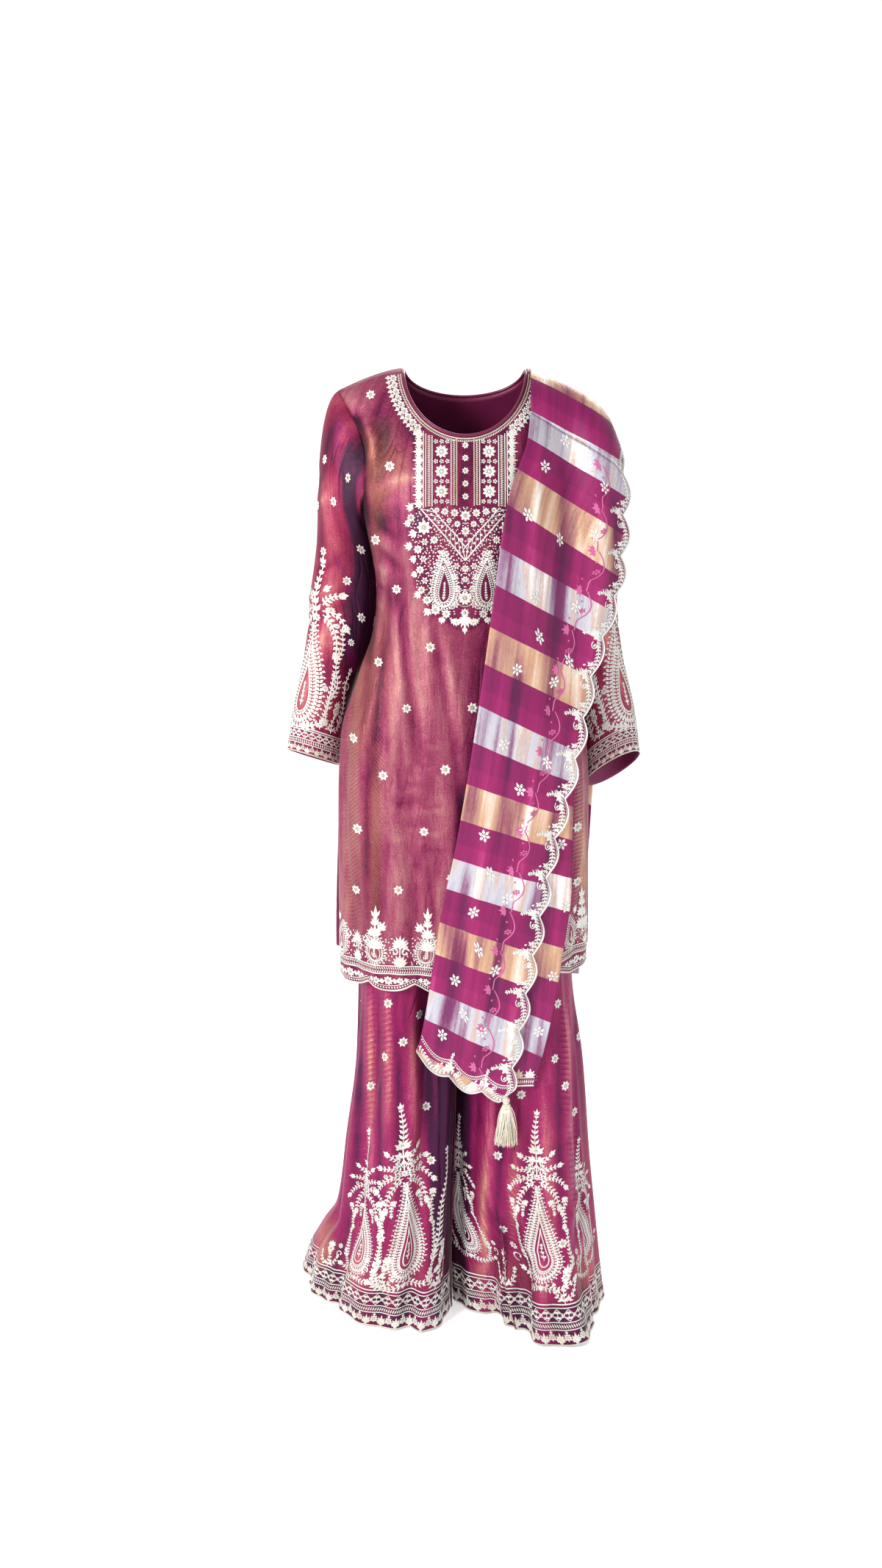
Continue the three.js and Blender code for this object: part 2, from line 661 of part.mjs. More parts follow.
// A level row of one leg panel, from the outer seam to the inner one. Over the hips the inner edge is the
// centre seam; through the crotch it swings back to the leg's own inner seam.
function legRow(leg, z, side, columns) {
  const legPart = ease((CROTCH_TOP - z) / (CROTCH_TOP - CROTCH_POINT));
  const hips = HIPS(z);
  const deep = side < 0 ? hips.front : hips.back;
  const overHips = steps(FINE).map((t) => {
    const angle = (t * Math.PI) / 2;
    const x = hips.half * Math.cos(angle) ** (2 / SECTION_POWER);
    return new THREE.Vector3(Math.max(x, SEAM / 2), side * deep * Math.sin(angle) ** (2 / SECTION_POWER), z);
  });
  const s = leg(z);
  const [midX, midY] = side < 0 ? [s.frontX, s.frontY] : [s.backX, s.backY];
  const arc = (endX, endY, t) => {
    const angle = (t * Math.PI) / 2;
    const x = midX + (endX - midX) * Math.cos(angle) ** s.round;
    return new THREE.Vector3(x, endY + (midY - endY) * Math.sin(angle) ** s.round, z);
  };
  const outerArc = steps(FINE / 2).map((t) => arc(s.outX, s.outY, t));
  const innerArc = steps(FINE / 2).map((t) => arc(s.inX, s.inY, 1 - t));
  const overLeg = evenly([...outerArc, ...innerArc.slice(1)], columns);
  const hipsEven = evenly(overHips, columns);
  const row = overLeg.map((point, i) => hipsEven[i].clone().lerp(point, legPart));
  row[0].y = mix(0, s.outY, legPart) + (side * SEAM) / 2;
  if (legPart === 1) row[columns].y = s.inY + (side * SEAM) / 2;
  return row;
}

// The mirror sign is -1 for the wearer's right leg.
function legPanel(name, leg, mirror, side, columns, list) {
  const rows = LEG_LEVELS.map((z) => foldRow(legRow(leg, z, side, columns), list, side));
  const seam = (r, c) => {
    if (c === 0) return "y";
    if (c < columns) return "";
    return LEG_LEVELS[r] >= CROTCH_TOP ? "x" : LEG_LEVELS[r] <= CROTCH_POINT ? "y" : "";
  };
  const inner = movedGrid(rows, side * CLOTH, { seam });
  const place = (grid) => (mirror < 0 ? grid.map(flipped) : grid);
  add(name, wallGeometry(place(rows), place(inner)), COLOUR.sharara);
}
const LEG_FRONT_COLUMNS = 18;
const LEG_BACK_COLUMNS = 14;
legPanel("leg_right_front", LEG_RIGHT, -1, -1, LEG_FRONT_COLUMNS, RIGHT_FRONT_FOLDS);
legPanel("leg_left_front", LEG_LEFT, 1, -1, LEG_FRONT_COLUMNS, LEFT_FRONT_FOLDS);
legPanel("leg_right_back", LEG_RIGHT, -1, 1, LEG_BACK_COLUMNS, LEG_BACK_FOLDS);
legPanel("leg_left_back", LEG_LEFT, 1, 1, LEG_BACK_COLUMNS, LEG_BACK_FOLDS);

// ---------- dupatta ----------
// Depth of what the dupatta lies on, in front (side -1) or behind: the kameez, the left sleeve, the sharara.
const CAP = { midX: 192, halfX: 50, front: 66, back: 76, top: -60 };
const FOLD_ROOM = { deep: 7, from: -300, full: -600 }; // room for the kameez's folds
const SHARARA_FRONT = 122; // depth of the sharara under the dupatta's end
function support(x, z, side) {
  const folded = ease((FOLD_ROOM.from - z) / (FOLD_ROOM.from - FOLD_ROOM.full));
  let deep = bodyDepth(x, z, side) + FOLD_ROOM.deep * folded;
  if (z < KAMEEZ_HEM) deep = Math.abs(x) < SHOULDER_HALF ? SHARARA_FRONT : 0;
  if (z > CAP.top || z < CUFF.left) return deep;
  const onCap = z > SLEEVE_RING;
  const section = onCap ? CAP : SLEEVE_LEFT(z);
  const off = (x - section.midX) / section.halfX;
  if (Math.abs(off) >= 1) return deep;
  const cap = side < 0 ? CAP.front : CAP.back;
  const arm = onCap ? cap : side * section.midY + section.halfY;
  return Math.max(deep, arm * Math.sqrt(1 - off * off));
}

// Cloth that hangs over it: it bridges hollows, is never steeper across than its slope allows at that level,
// and hangs almost plumb below whatever it rests on.
const DRAPE_STEEP = table(
  ["z", "slope"],
  [
    [-60, 1],
    [-300, 0.75],
    [-600, 0.35],
    [-1150, 0.2],
  ],
);
const DRAPE_RETURN = 0.03; // how fast it comes back in, going down
const DRAPE = { top: -60, tall: 30, levels: 38, left: -120, wide: 10, places: 41 };
const DRAPE_LEVELS = Array.from({ length: DRAPE.levels }, (_, i) => DRAPE.top - DRAPE.tall * i);
const DRAPE_PLACES = Array.from({ length: DRAPE.places }, (_, i) => DRAPE.left + DRAPE.wide * i);
function drapeField(side) {
  let above = DRAPE_PLACES.map(() => 0);
  return DRAPE_LEVELS.map((z) => {
    const kept = above.map((depth) => depth - DRAPE.tall * DRAPE_RETURN);
    const rest = DRAPE_PLACES.map((x, i) => Math.max(support(x, z, side), kept[i]));
    const slope = DRAPE_STEEP(z).slope;
    const reach = (x) => rest.map((depth, i) => depth - slope * Math.abs(x - DRAPE_PLACES[i]));
    above = DRAPE_PLACES.map((x) => Math.max(...reach(x)));
    return above;
  });
}
const drapes = { front: drapeField(-1), back: drapeField(1) };
function drapeDepth(x, z, side) {
  const field = side < 0 ? drapes.front : drapes.back;
  const r = Math.max(0, (DRAPE.top - z) / DRAPE.tall);
  const c = Math.max(0, (x - DRAPE.left) / DRAPE.wide);
  const i = Math.min(DRAPE.levels - 2, Math.floor(r));
  const j = Math.min(DRAPE.places - 2, Math.floor(c));
  const across = (row) => mix(field[row][j], field[row][j + 1], c - j);
  return mix(across(i), across(i + 1), Math.min(1, r - i));
}

// A stretch hanging in front of or behind the suit. Its rows slant from the plain edge to the scalloped one.
const SAG_LATE = 4; // how late the foot's sag sets in
function hangingStretch(shape) {
  const { plain, scallop, top, foot, rows, columns, side, lift, scallops = 0, deep = 0, sag = 0 } = shape;
  return steps(rows).map((t) => {
    const a = mix(top.plain, foot.plain, t);
    const b = mix(top.scallop, foot.scallop, t);
    const bite = deep * (1 - Math.abs(Math.sin(Math.PI * scallops * t)));
    const [ax, bx] = [plain(a), scallop(b) - bite];
    return steps(columns).map((s, c) => {
      const x = mix(ax, bx, s);
      const cusp = t === 1 && c % 2 === 0 && c > 0 && c < columns ? deep : 0;
      const z = mix(a, b, s) - sag * 4 * s * (1 - s) * t ** SAG_LATE + cusp;
      return new THREE.Vector3(x, side * (drapeDepth(x, z, side) + lift), z);
    });
  });
}

const LIFT_UNDER = 3.2;
const LIFT_TOP = 9.5;
const FALL_COLUMNS = 6;
const ROWS_PER_SCALLOP = 3;
const FOOT_SAG = 18;
const fall = hangingStretch({
  plain: (z) => PLAIN_EDGE(z).x,
  scallop: (z) => SCALLOP_EDGE(z).x,
  top: FALL_TOP,
  foot: FALL_FOOT,
  rows: FALL_SCALLOPS * ROWS_PER_SCALLOP,
  columns: FALL_COLUMNS,
  side: -1,
  lift: LIFT_TOP,
  scallops: FALL_SCALLOPS,
  deep: EDGE_SCALLOP_DEEP,
  sag: FOOT_SAG,
});
const fallInner = movedGrid(fall, ORGANZA);
add("dupatta_front_fall", wallGeometry(fall, fallInner), COLOUR.dupatta);

const under = hangingStretch({
  plain: (z) => UNDER(z).inX,
  scallop: (z) => UNDER(z).outX,
  top: UNDER_TOP,
  foot: { plain: UNDER_FOOT, scallop: UNDER_FOOT },
  rows: 14,
  columns: 4,
  side: -1,
  lift: LIFT_UNDER,
});
add("dupatta_under_layer", wallGeometry(under, movedGrid(under, ORGANZA)), COLOUR.under);

const rear = hangingStretch({
  plain: (z) => BACK_FALL(z).inX,
  scallop: (z) => BACK_FALL(z).outX,
  top: BACK_FALL_TOP,
  foot: { plain: BACK_FALL_FOOT, scallop: BACK_FALL_FOOT },
  rows: 13,
  columns: FALL_COLUMNS,
  side: 1,
  lift: LIFT_TOP,
});
add("dupatta_back_fall", wallGeometry(rear, movedGrid(rear, -ORGANZA)), COLOUR.dupatta);

// Over the shoulder the cloth runs from the top row of the front fall, over the crest, to the back fall.
const SHOULDER_STEPS = 5;
function shoulderStretch() {
  const row = (from, share) =>
    steps(FALL_COLUMNS).map((s, c) => {
      const crest = CREST(s);
      const angle = (share * Math.PI) / 2;
      const end = from[c];
      return new THREE.Vector3(
        mix(crest.x, end.x, Math.sin(angle)),
        mix(crest.y, end.y, Math.sin(angle)),
        mix(end.z, crest.z, Math.cos(angle)) + (share === 1 ? SEAM : 0),
      );
    });
  const forward = steps(SHOULDER_STEPS).map((t) => row(fall[0], 1 - t));
  const backward = steps(SHOULDER_STEPS).slice(1).map((t) => row(rear[0], t));
  return [...forward, ...backward];
}
const shoulder = shoulderStretch();
add("dupatta_shoulder", wallGeometry(shoulder, movedGrid(shoulder, ORGANZA)), COLOUR.dupatta);

// The tassel hangs from the front corner: a round knot over a flat bell of threads.
const KNOT_RADIUS = 6;
const FRINGE_FLAT = 0.5; // depth of the bell against its width
const FRINGE = [
  { down: 0, radius: 0 },
  { down: 0, radius: 4.5 },
  { down: 14, radius: 7 },
  { down: 43, radius: 11 },
  { down: 72, radius: 15 },
  { down: 72, radius: 0 },
];
const corner = fall[fall.length - 1][FALL_COLUMNS];
const knotAt = new THREE.Vector3(corner.x - 1, corner.y + ORGANZA / 2, corner.z - KNOT_RADIUS - SEAM);
const knot = new THREE.SphereGeometry(KNOT_RADIUS, 10, 7);
knot.rotateX(Math.PI / 2);
add("tassel_knot", knot, COLOUR.tassel).position.copy(knotAt);
const profile = FRINGE.map(({ down, radius }) => new THREE.Vector2(radius, -down)).reverse();
const bell = new THREE.LatheGeometry(profile, 14);
bell.rotateX(Math.PI / 2);
bell.scale(1, FRINGE_FLAT, 1);
const fringe = add("tassel_fringe", bell, COLOUR.tassel);
fringe.position.set(knotAt.x, knotAt.y, knotAt.z - KNOT_RADIUS - SEAM);

export default group;
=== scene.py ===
# Sharara suit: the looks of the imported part. Millimetres in the making, metres on the meshes.
# +Z is up, the front faces -Y and the wearer's left side is +X, as in the part itself.
import math

import bpy
import numpy as np
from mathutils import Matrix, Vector


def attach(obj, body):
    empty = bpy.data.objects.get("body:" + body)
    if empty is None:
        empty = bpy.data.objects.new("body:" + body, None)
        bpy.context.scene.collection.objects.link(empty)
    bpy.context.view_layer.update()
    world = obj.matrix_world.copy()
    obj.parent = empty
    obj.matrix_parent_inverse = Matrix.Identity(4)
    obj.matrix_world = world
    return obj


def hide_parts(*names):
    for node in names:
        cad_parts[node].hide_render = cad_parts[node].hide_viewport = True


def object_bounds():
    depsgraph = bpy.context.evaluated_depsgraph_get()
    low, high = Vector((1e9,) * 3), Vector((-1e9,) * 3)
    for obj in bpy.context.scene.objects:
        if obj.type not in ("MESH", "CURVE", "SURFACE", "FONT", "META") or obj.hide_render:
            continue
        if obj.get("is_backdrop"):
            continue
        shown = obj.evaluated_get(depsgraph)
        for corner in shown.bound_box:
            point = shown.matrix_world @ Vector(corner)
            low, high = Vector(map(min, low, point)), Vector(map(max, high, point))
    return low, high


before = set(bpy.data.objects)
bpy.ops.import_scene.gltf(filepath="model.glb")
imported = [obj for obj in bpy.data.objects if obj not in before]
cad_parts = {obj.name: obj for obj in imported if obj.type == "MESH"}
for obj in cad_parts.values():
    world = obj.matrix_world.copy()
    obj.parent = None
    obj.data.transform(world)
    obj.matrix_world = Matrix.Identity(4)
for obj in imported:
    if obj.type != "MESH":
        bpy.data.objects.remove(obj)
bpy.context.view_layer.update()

# ---------- the part's own sizes ----------
NECK_HALF, NECK_FRONT, NECK_BACK = 95, 107, 40
SHOULDER_HALF = 193
SHOULDER = {"right": (33, 1.45), "left": (45, 1.3)}  # how far each drops, and the power of its curve
SHOULDER_ROUND = 90
NECK_RISE = 0.2
UNDERARM, SLIT_TOP, KAMEEZ_HEM = -215, -660, -957
SCALLOP_DEEP, HEM_SCALLOPS = 12, 6
SECTION_POWER = 2.5  # 2 would make the body's section an ellipse, more makes it boxier
BAND_TOP, BAND_BOTTOM = -385, -420
LEG_TOP = BAND_BOTTOM - 0.3
CROTCH_TOP, CROTCH_POINT, SHARARA_HEM = -600, -720, -1529
SLEEVE_RING = -255
CUFF = {"right": -611, "left": -630}
SEAM = 0.3


# ---------- curves and tables ----------
def ease(t):
    k = np.clip(t, 0, 1)
    return k * k * (3 - 2 * k)


def mix(a, b, t):
    return a + (b - a) * t


def bend(value, power):
    return np.sign(value) * np.abs(value) ** power


def grid(text):
    """Rows of numbers, a row to a line or between semicolons."""
    return np.array([row.split() for row in text.replace("\n", ";").split(";") if row.strip()], float)


def table(columns, text):
    """Named columns read along smooth curves that never overshoot a row."""
    columns, data = columns.split(), grid(text)
    if data[0, 0] > data[-1, 0]:
        data = data[::-1]
    keys = data[:, 0]
    step = np.diff(keys)
    slopes = {}
    for c, name in enumerate(columns):
        rise = np.diff(data[:, c]) / step
        inner = np.zeros(len(keys))
        inner[0], inner[-1] = rise[0], rise[-1]
        product = rise[:-1] * rise[1:]
        safe = np.where(product > 0, rise[:-1] + rise[1:], 1)
        inner[1:-1] = np.where(product > 0, 2 * product / safe, 0)
        slopes[name] = inner

    def read(key):
        key = np.asarray(key, float)
        i = np.clip(np.searchsorted(keys, key, side="right") - 1, 0, len(keys) - 2)
        t = np.clip((key - keys[i]) / step[i], 0, 1)
        out = {}
        for c, name in enumerate(columns):
            low, high = data[i, c], data[i + 1, c]
            rise = high - low
            a = slopes[name][i] * step[i] - rise
            b = rise - slopes[name][i + 1] * step[i]
            out[name] = low + t * rise + t * (1 - t) * ((1 - t) * a + t * b)
        return out

    return read


def evenly(points, shares):
    """A polyline read at shares of its length."""
    points = np.asarray(points, float)
    run = np.concatenate([[0], np.cumsum(np.linalg.norm(np.diff(points, axis=0), axis=1))])
    want = np.asarray(shares) * run[-1]
    return np.stack([np.interp(want, run, points[:, k]) for k in range(points.shape[1])], axis=1)


def smooth_path(points, per=7):
    """A curve through the points."""
    p = np.asarray(points, float)
    if len(p) < 3:
        return evenly(p, np.linspace(0, 1, per + 1))
    ends = np.vstack([2 * p[0] - p[1], p, 2 * p[-1] - p[-2]])
    out = []
    for i in range(len(p) - 1):
        a, b, c, d = ends[i : i + 4]
        for t in np.linspace(0, 1, per, endpoint=False):
            out.append(
                0.5 * (2 * b + (c - a) * t + (2 * a - 5 * b + 4 * c - d) * t**2 + (3 * b - a - 3 * c + d) * t**3)
            )
    out.append(p[-1])
    return np.array(out)


# ---------- cloth ----------
SHINE = 16  # height in mm that lifts the painted highlight of a ridge by 1, and deepens the painted shade of a trough as much


def strokes(text):
    """Under each heading its rows: width, height or amount, a colon, and the path's places, x and z for each."""
    kinds = {kind: [] for kind in ("crease", "light", "rust", "crimp")}
    for line in filter(None, text.splitlines()):
        numbers, colon, path = line.partition(":")
        if colon:
            places = [tuple(map(float, place.split())) for place in path.split(",")]
            rows.append((places, *map(float, numbers.split())))
        elif not line.startswith("#"):
            rows = kinds[line]
    return kinds


def stroke(line, wide, high, A, B, flat):
    """How high a soft stroke along a line stands at the places A, B. It fades out at both ends."""
    best, share = np.full(A.shape, 1e9), np.zeros(A.shape)
    for i, d in enumerate(np.diff(line, axis=0)):
        off_a, off_b = A - line[i][0], B - line[i][1]
        t = np.clip((off_a * d[0] + off_b * d[1]) / max(d @ d, 1e-9), 0, 1)
        dist = np.hypot(off_a - t * d[0], off_b - t * d[1])
        closer = dist < best
        best[closer], share[closer] = dist[closer], ((i + t) / (len(line) - 1))[closer]
    return high * np.exp(-((best / wide) ** 2)) * np.clip(np.sin(np.pi * share), 0, 1) ** flat


class Cloth:
    """A sheet as a grid of points: rows run down it, columns across. out, 1 or -1, tells the side that shows."""

    def __init__(self, name, grid, thick, wrap=False):
        self.name, self.P, self.out, self.thick, self.wrap = name, np.array(grid, float), 1, thick, wrap
        # the tone holds painted highlight above 0 and painted shade below 0, and the last field holds copper
        # painted on as sheen
        self.tone, self.crimp, self.rust = np.zeros((3, *self.P.shape[:2]))
        self.stripe = None

    def normals(self):
        P = self.P
        across = np.gradient(P, axis=1)
        if self.wrap:  # the first and last columns are one
            edge = P[:, 1] - P[:, -2]
            across[:, 0] = across[:, -1] = edge / 2
        down = np.gradient(P, axis=0)
        n = np.cross(across, down)
        size = np.linalg.norm(n, axis=2, keepdims=True)
        return self.out * n / np.maximum(size, 1e-9)

    def show(self, row, column, way):
        """Turns the side that shows to face a way, at one place of the cloth."""
        self.out = 1 if self.normals()[row, column] @ way > 0 else -1

    def push(self, height):
        """Moves the cloth out by a height at each of its places."""
        self.P += self.normals() * height[..., None]

    def lay_out(self, zero=0.5):
        """Cloth coordinates: A across from a share of the columns, B up from the hem, D down from the top."""
        P = self.P
        across = np.linalg.norm(np.diff(P, axis=1), axis=2)
        run = np.concatenate([np.zeros((P.shape[0], 1)), np.cumsum(across, axis=1)], axis=1)
        place = zero * (P.shape[1] - 1)
        i = int(min(place, P.shape[1] - 2))
        start = mix(run[:, i], run[:, i + 1], place - i)
        self.A = run - start[:, None]
        down = np.linalg.norm(np.diff(P, axis=0), axis=2)
        fall = np.concatenate([np.zeros((1, P.shape[1])), np.cumsum(down, axis=0)], axis=0)
        self.D = fall
        self.B = fall[-1] - fall

    def read(self, field, r, c):
        """A field's values between its places, at rows and columns that aren't whole."""
        R, C = field.shape[:2]
        r = np.clip(r, 0, R - 1.0001)
        c = np.clip(c, 0, C - 1.0001)
        i, j = r.astype(int), c.astype(int)
        fr, fc = r - i, c - j
        if field.ndim == 3:
            fr, fc = fr[:, None], fc[:, None]
        top = field[i, j] * (1 - fc) + field[i, j + 1] * fc
        low = field[i + 1, j] * (1 - fc) + field[i + 1, j + 1] * fc
        return top * (1 - fr) + low * fr

    def locate(self, a, b, A=None, B=None):
        """Rows and columns where the two fields take the values a and b."""
        A = self.A if A is None else A
        B = self.B if B is None else B
        R, C = A.shape
        rs, cs = np.arange(0, R, max(1, R // 48)), np.arange(0, C, max(1, C // 40))
        ca, cb = A[np.ix_(rs, cs)].ravel(), B[np.ix_(rs, cs)].ravel()
        rr, cc = (g.ravel() for g in np.meshgrid(rs, cs, indexing="ij"))
        r, c = np.empty(len(a)), np.empty(len(a))
        for k in range(0, len(a), 4000):  # the nearest of a coarse grid, a lot of places at a time
            lot = slice(k, k + 4000)
            near = ((ca[None] - a[lot, None]) ** 2 + (cb[None] - b[lot, None]) ** 2).argmin(1)
            r[lot], c[lot] = rr[near], cc[near]
        Ar, Ac = np.gradient(A)
        Br, Bc = np.gradient(B)
        for _ in range(9):  # and from there in steps along the slopes of the fields
            da, db = a - self.read(A, r, c), b - self.read(B, r, c)
            p, q, s, t = (self.read(f, r, c) for f in (Ar, Ac, Br, Bc))
            det = p * t - q * s
            det = np.where(np.abs(det) < 1e-3, 1e-3, det)
            r = np.clip(r + np.clip((t * da - q * db) / det, -6, 6), 0, R - 1)
            c = np.clip(c + np.clip((-s * da + p * db) / det, -6, 6), 0, C - 1)
        return r, c

    def crease(self, path, wide, high, shine=1.0, fields=None):
        """A soft ridge, or trough where high is below 0, along a path in the fields' coordinates. A ridge gets
        painted highlight in the cloth's tone and a trough painted shade.
        """
        A, B = fields or (self.P[..., 0], self.P[..., 2])
        line = smooth_path(path)
        low, top = line.min(0) - 3 * wide, line.max(0) + 3 * wide
        mask = (A > low[0]) & (A < top[0]) & (B > low[1]) & (B < top[1])
        height = np.zeros(A.shape)
        height[mask] = stroke(line, wide, high, A[mask], B[mask], 0.7)
        self.push(height)
        self.tone += shine * height / SHINE

    def paint(self, path, wide, amount, into, fields=None, flat=0.5):
        """A soft patch along a path, added to one of the cloth's fields."""
        A, B = fields or (self.P[..., 0], self.P[..., 2])
        into += stroke(smooth_path(path), wide, amount, A, B, flat)

    def fold(self, rows, deepen=1.0, shine=1.0):
        """Lays the creases of a table of strokes, with their painted highlight and shade. Where a row has a third
        number, that is its shine, how strongly that highlight and shade are painted.
        """
        for path, wide, high, *own in rows["crease"]:
            self.crease(path, wide, high * deepen, *(own or [shine]))

    def tint(self, rows):
        """Lays the painted highlight and shade, the painted copper sheen and the crimps of a table of strokes."""
        for kind, into in (("light", self.tone), ("rust", self.rust)):
            for path, wide, amount in rows[kind]:
                self.paint(path, wide, amount, into)
        for path, wide in rows["crimp"]:
            self.paint(path, wide, 0.5, self.crimp, flat=0.3)

    def once(self, field):
        """A field without the last column, where that is the first one again."""
        return field[:, :-1] if self.wrap else field

    def mesh(self, materials):
        """The sheet as a thin closed shell."""
        P, n = self.once(self.P), self.once(self.normals())
        R, C = P.shape[:2]
        points = np.concatenate([P.reshape(-1, 3), (P - n * self.thick).reshape(-1, 3)]) * 0.001
        at = np.arange(R * C).reshape(R, C)
        if self.wrap:
            at = np.concatenate([at, at[:, :1]], axis=1)
        half = R * C
        a, b, c, d = at[:-1, :-1], at[:-1, 1:], at[1:, 1:], at[1:, :-1]
        outer = np.stack([a, b, c, d], -1).reshape(-1, 4)
        if self.out < 0:
            outer = outer[:, ::-1]
        inner = outer[:, ::-1] + half

        def rim(line, turn):
            quads = np.stack([line[:-1], line[1:], line[1:] + half, line[:-1] + half], -1)
            return quads[:, ::-1] if turn else quads

        rims = [rim(at[0], self.out > 0), rim(at[-1], self.out < 0)]
        if not self.wrap:
            rims += [rim(at[:, 0], self.out < 0), rim(at[:, -1], self.out > 0)]
        rims = np.concatenate(rims)
        faces = np.concatenate([outer, inner, rims])
        inside = np.concatenate([np.zeros(len(outer)), np.ones(len(inner)), np.zeros(len(rims))]).astype(int)
        obj = make_mesh(self.name, points, faces, materials, inside if len(materials) > 1 else None)
        fields = {"tone": self.tone, "crimp": self.crimp, "rust": self.rust, "stripe": self.stripe}
        for name, field in {**fields, "across": self.A * 0.001, "down": self.D * 0.001}.items():
            if field is not None:
                put_field(obj, name, np.tile(self.once(field).ravel(), 2))
        return obj


def make_mesh(name, points, faces, materials, slots=None, smooth=True):
    """An object from points in metres and faces that all have the same number of corners."""
    faces = np.asarray(faces)
    data = bpy.data.meshes.new(name)
    data.vertices.add(len(points))
    data.vertices.foreach_set("co", np.asarray(points, np.float32).ravel())
    data.loops.add(faces.size)
    data.loops.foreach_set("vertex_index", faces.ravel().astype(np.int32))
    data.polygons.add(len(faces))
    data.polygons.foreach_set("loop_start", np.arange(0, faces.size, faces.shape[1], dtype=np.int32))
    data.polygons.foreach_set("use_smooth", np.full(len(faces), smooth))
    for material in materials:
        data.materials.append(material)
    if slots is not None:
        data.polygons.foreach_set("material_index", np.asarray(slots, np.int32))
    data.update(calc_edges=True)
    data.validate()
    obj = bpy.data.objects.new(name, data)
    bpy.context.scene.collection.objects.link(obj)
    return obj


def put_field(obj, name, values):
    layer = obj.data.attributes.new(name, "FLOAT", "POINT")
    layer.data.foreach_set("value", np.asarray(values, np.float32).ravel())


# ---------- kameez ----------
BODY = table("z half front back", """
0 194 52 48; -42 192 60 58; -110 172 92 80; -180 165 118 98; -250 150 132 102; -310 139 121 92
-350 137 110 86; -400 143 106 92; -480 170 112 106; -560 195 118 118; -650 201 122 124; -800 203 124 124
-957 205 128 124
""")
ARMHOLE = table("down half", """
0 193; 0.2 174; 0.4 160; 0.6 153; 0.82 152; 1 158
""")
# Folds: at and foot as shares across, wide, high, start and full (z where a fold starts and is full).
KAMEEZ_FRONT_FOLDS = grid("""
0.16 0.1 26 -7 -300 -620; 0.22 0.2 24 6 -300 -620; 0.33 0.34 26 -6 -340 -760; 0.46 0.47 30 5 -420 -800
0.66 0.68 28 -5 -360 -760; 0.8 0.82 26 6 -300 -620; 0.87 0.92 24 -6 -300 -640
""")
KAMEEZ_BACK_FOLDS = grid("""
0.2 0.16 34 -6 -320 -700; 0.5 0.52 40 -6 -360 -760; 0.78 0.84 34 -6 -320 -720
""")
SLIT_SHARE, BACK_HEM_HALF, BACK_HEM_CURL = 0.84, 216, 34
# by side, -1 the front and 1 the back
HEM_LIFT, LIFT_FROM, SCALLOPS_FROM = {-1: 22, 1: 6}, -760, -900
ARM_ROWS = {-1: 34, 1: 26}
SILK_THICK, ORGANZA_THICK = 1.3, 0.9


def fold_height(folds, share, width, z):
    total = np.zeros_like(share)
    for at, foot, wide, high, start, full in folds:
        grown = ease((start - z) / (start - full))
        off = (share - mix(at, foot, grown)) * width / wide
        total += np.where(np.abs(off) < 1, high * grown * np.cos(np.pi / 2 * np.clip(off, -1, 1)) ** 2, 0)
    return total


def shoulder_line(x):
    out = np.abs(x) - NECK_HALF
    drop = np.where(x < 0, SHOULDER["right"][0], SHOULDER["left"][0])
    curve = np.where(x < 0, SHOULDER["right"][1], SHOULDER["left"][1])
    beyond = -drop * (np.maximum(out, 0) / (SHOULDER_HALF - NECK_HALF)) ** curve
    return np.where(out < 0, -out * NECK_RISE, beyond)


def body_depth(x, z, side):
    s = BODY(z)
    share = np.minimum(1, np.abs(x) / s["half"])
    flat = (s["front"] if side < 0 else s["back"]) * (1 - share**SECTION_POWER) ** (1 / SECTION_POWER)
    drop = np.clip((shoulder_line(x) - z) / SHOULDER_ROUND, 0, 1)
    return flat * np.sqrt(1 - (1 - drop) ** 2)


def half_section(z, side):
    s = BODY(z)
    deep = s["front"] if side < 0 else s["back"]
    angle = np.linspace(0, np.pi / 2, 120)
    x = s["half"] * np.sin(angle) ** (2 / SECTION_POWER)
    y = side * deep * np.clip(np.cos(angle), 0, 1) ** (2 / SECTION_POWER)
    return np.stack([x, y, np.full_like(x, z)], 1)


def panel_row(z, side, half_count):
    opened = ease((SLIT_TOP - z) / (SLIT_TOP - KAMEEZ_HEM))
    share = mix(1, SLIT_SHARE, opened) if side < 0 else 1
    t = np.linspace(0, 1, half_count + 1)
    half = evenly(half_section(z, side), t * share)
    if side > 0:
        half[:, 0] = mix(half[:, 0], BACK_HEM_HALF * t, opened)
        half[:, 1] = mix(half[:, 1], BODY(z)["back"] - BACK_HEM_CURL * t * t, opened)
    half[-1, 1] += side * SEAM / 2
    left = half[1:][::-1].copy()
    left[:, 0] *= -1
    return np.vstack([left, half])


def hem_cut(share):
    """How far the scallops are cut up into the hem, at shares of its width."""
    return SCALLOP_DEEP * (1 - np.abs(np.sin(np.pi * HEM_SCALLOPS * share)))


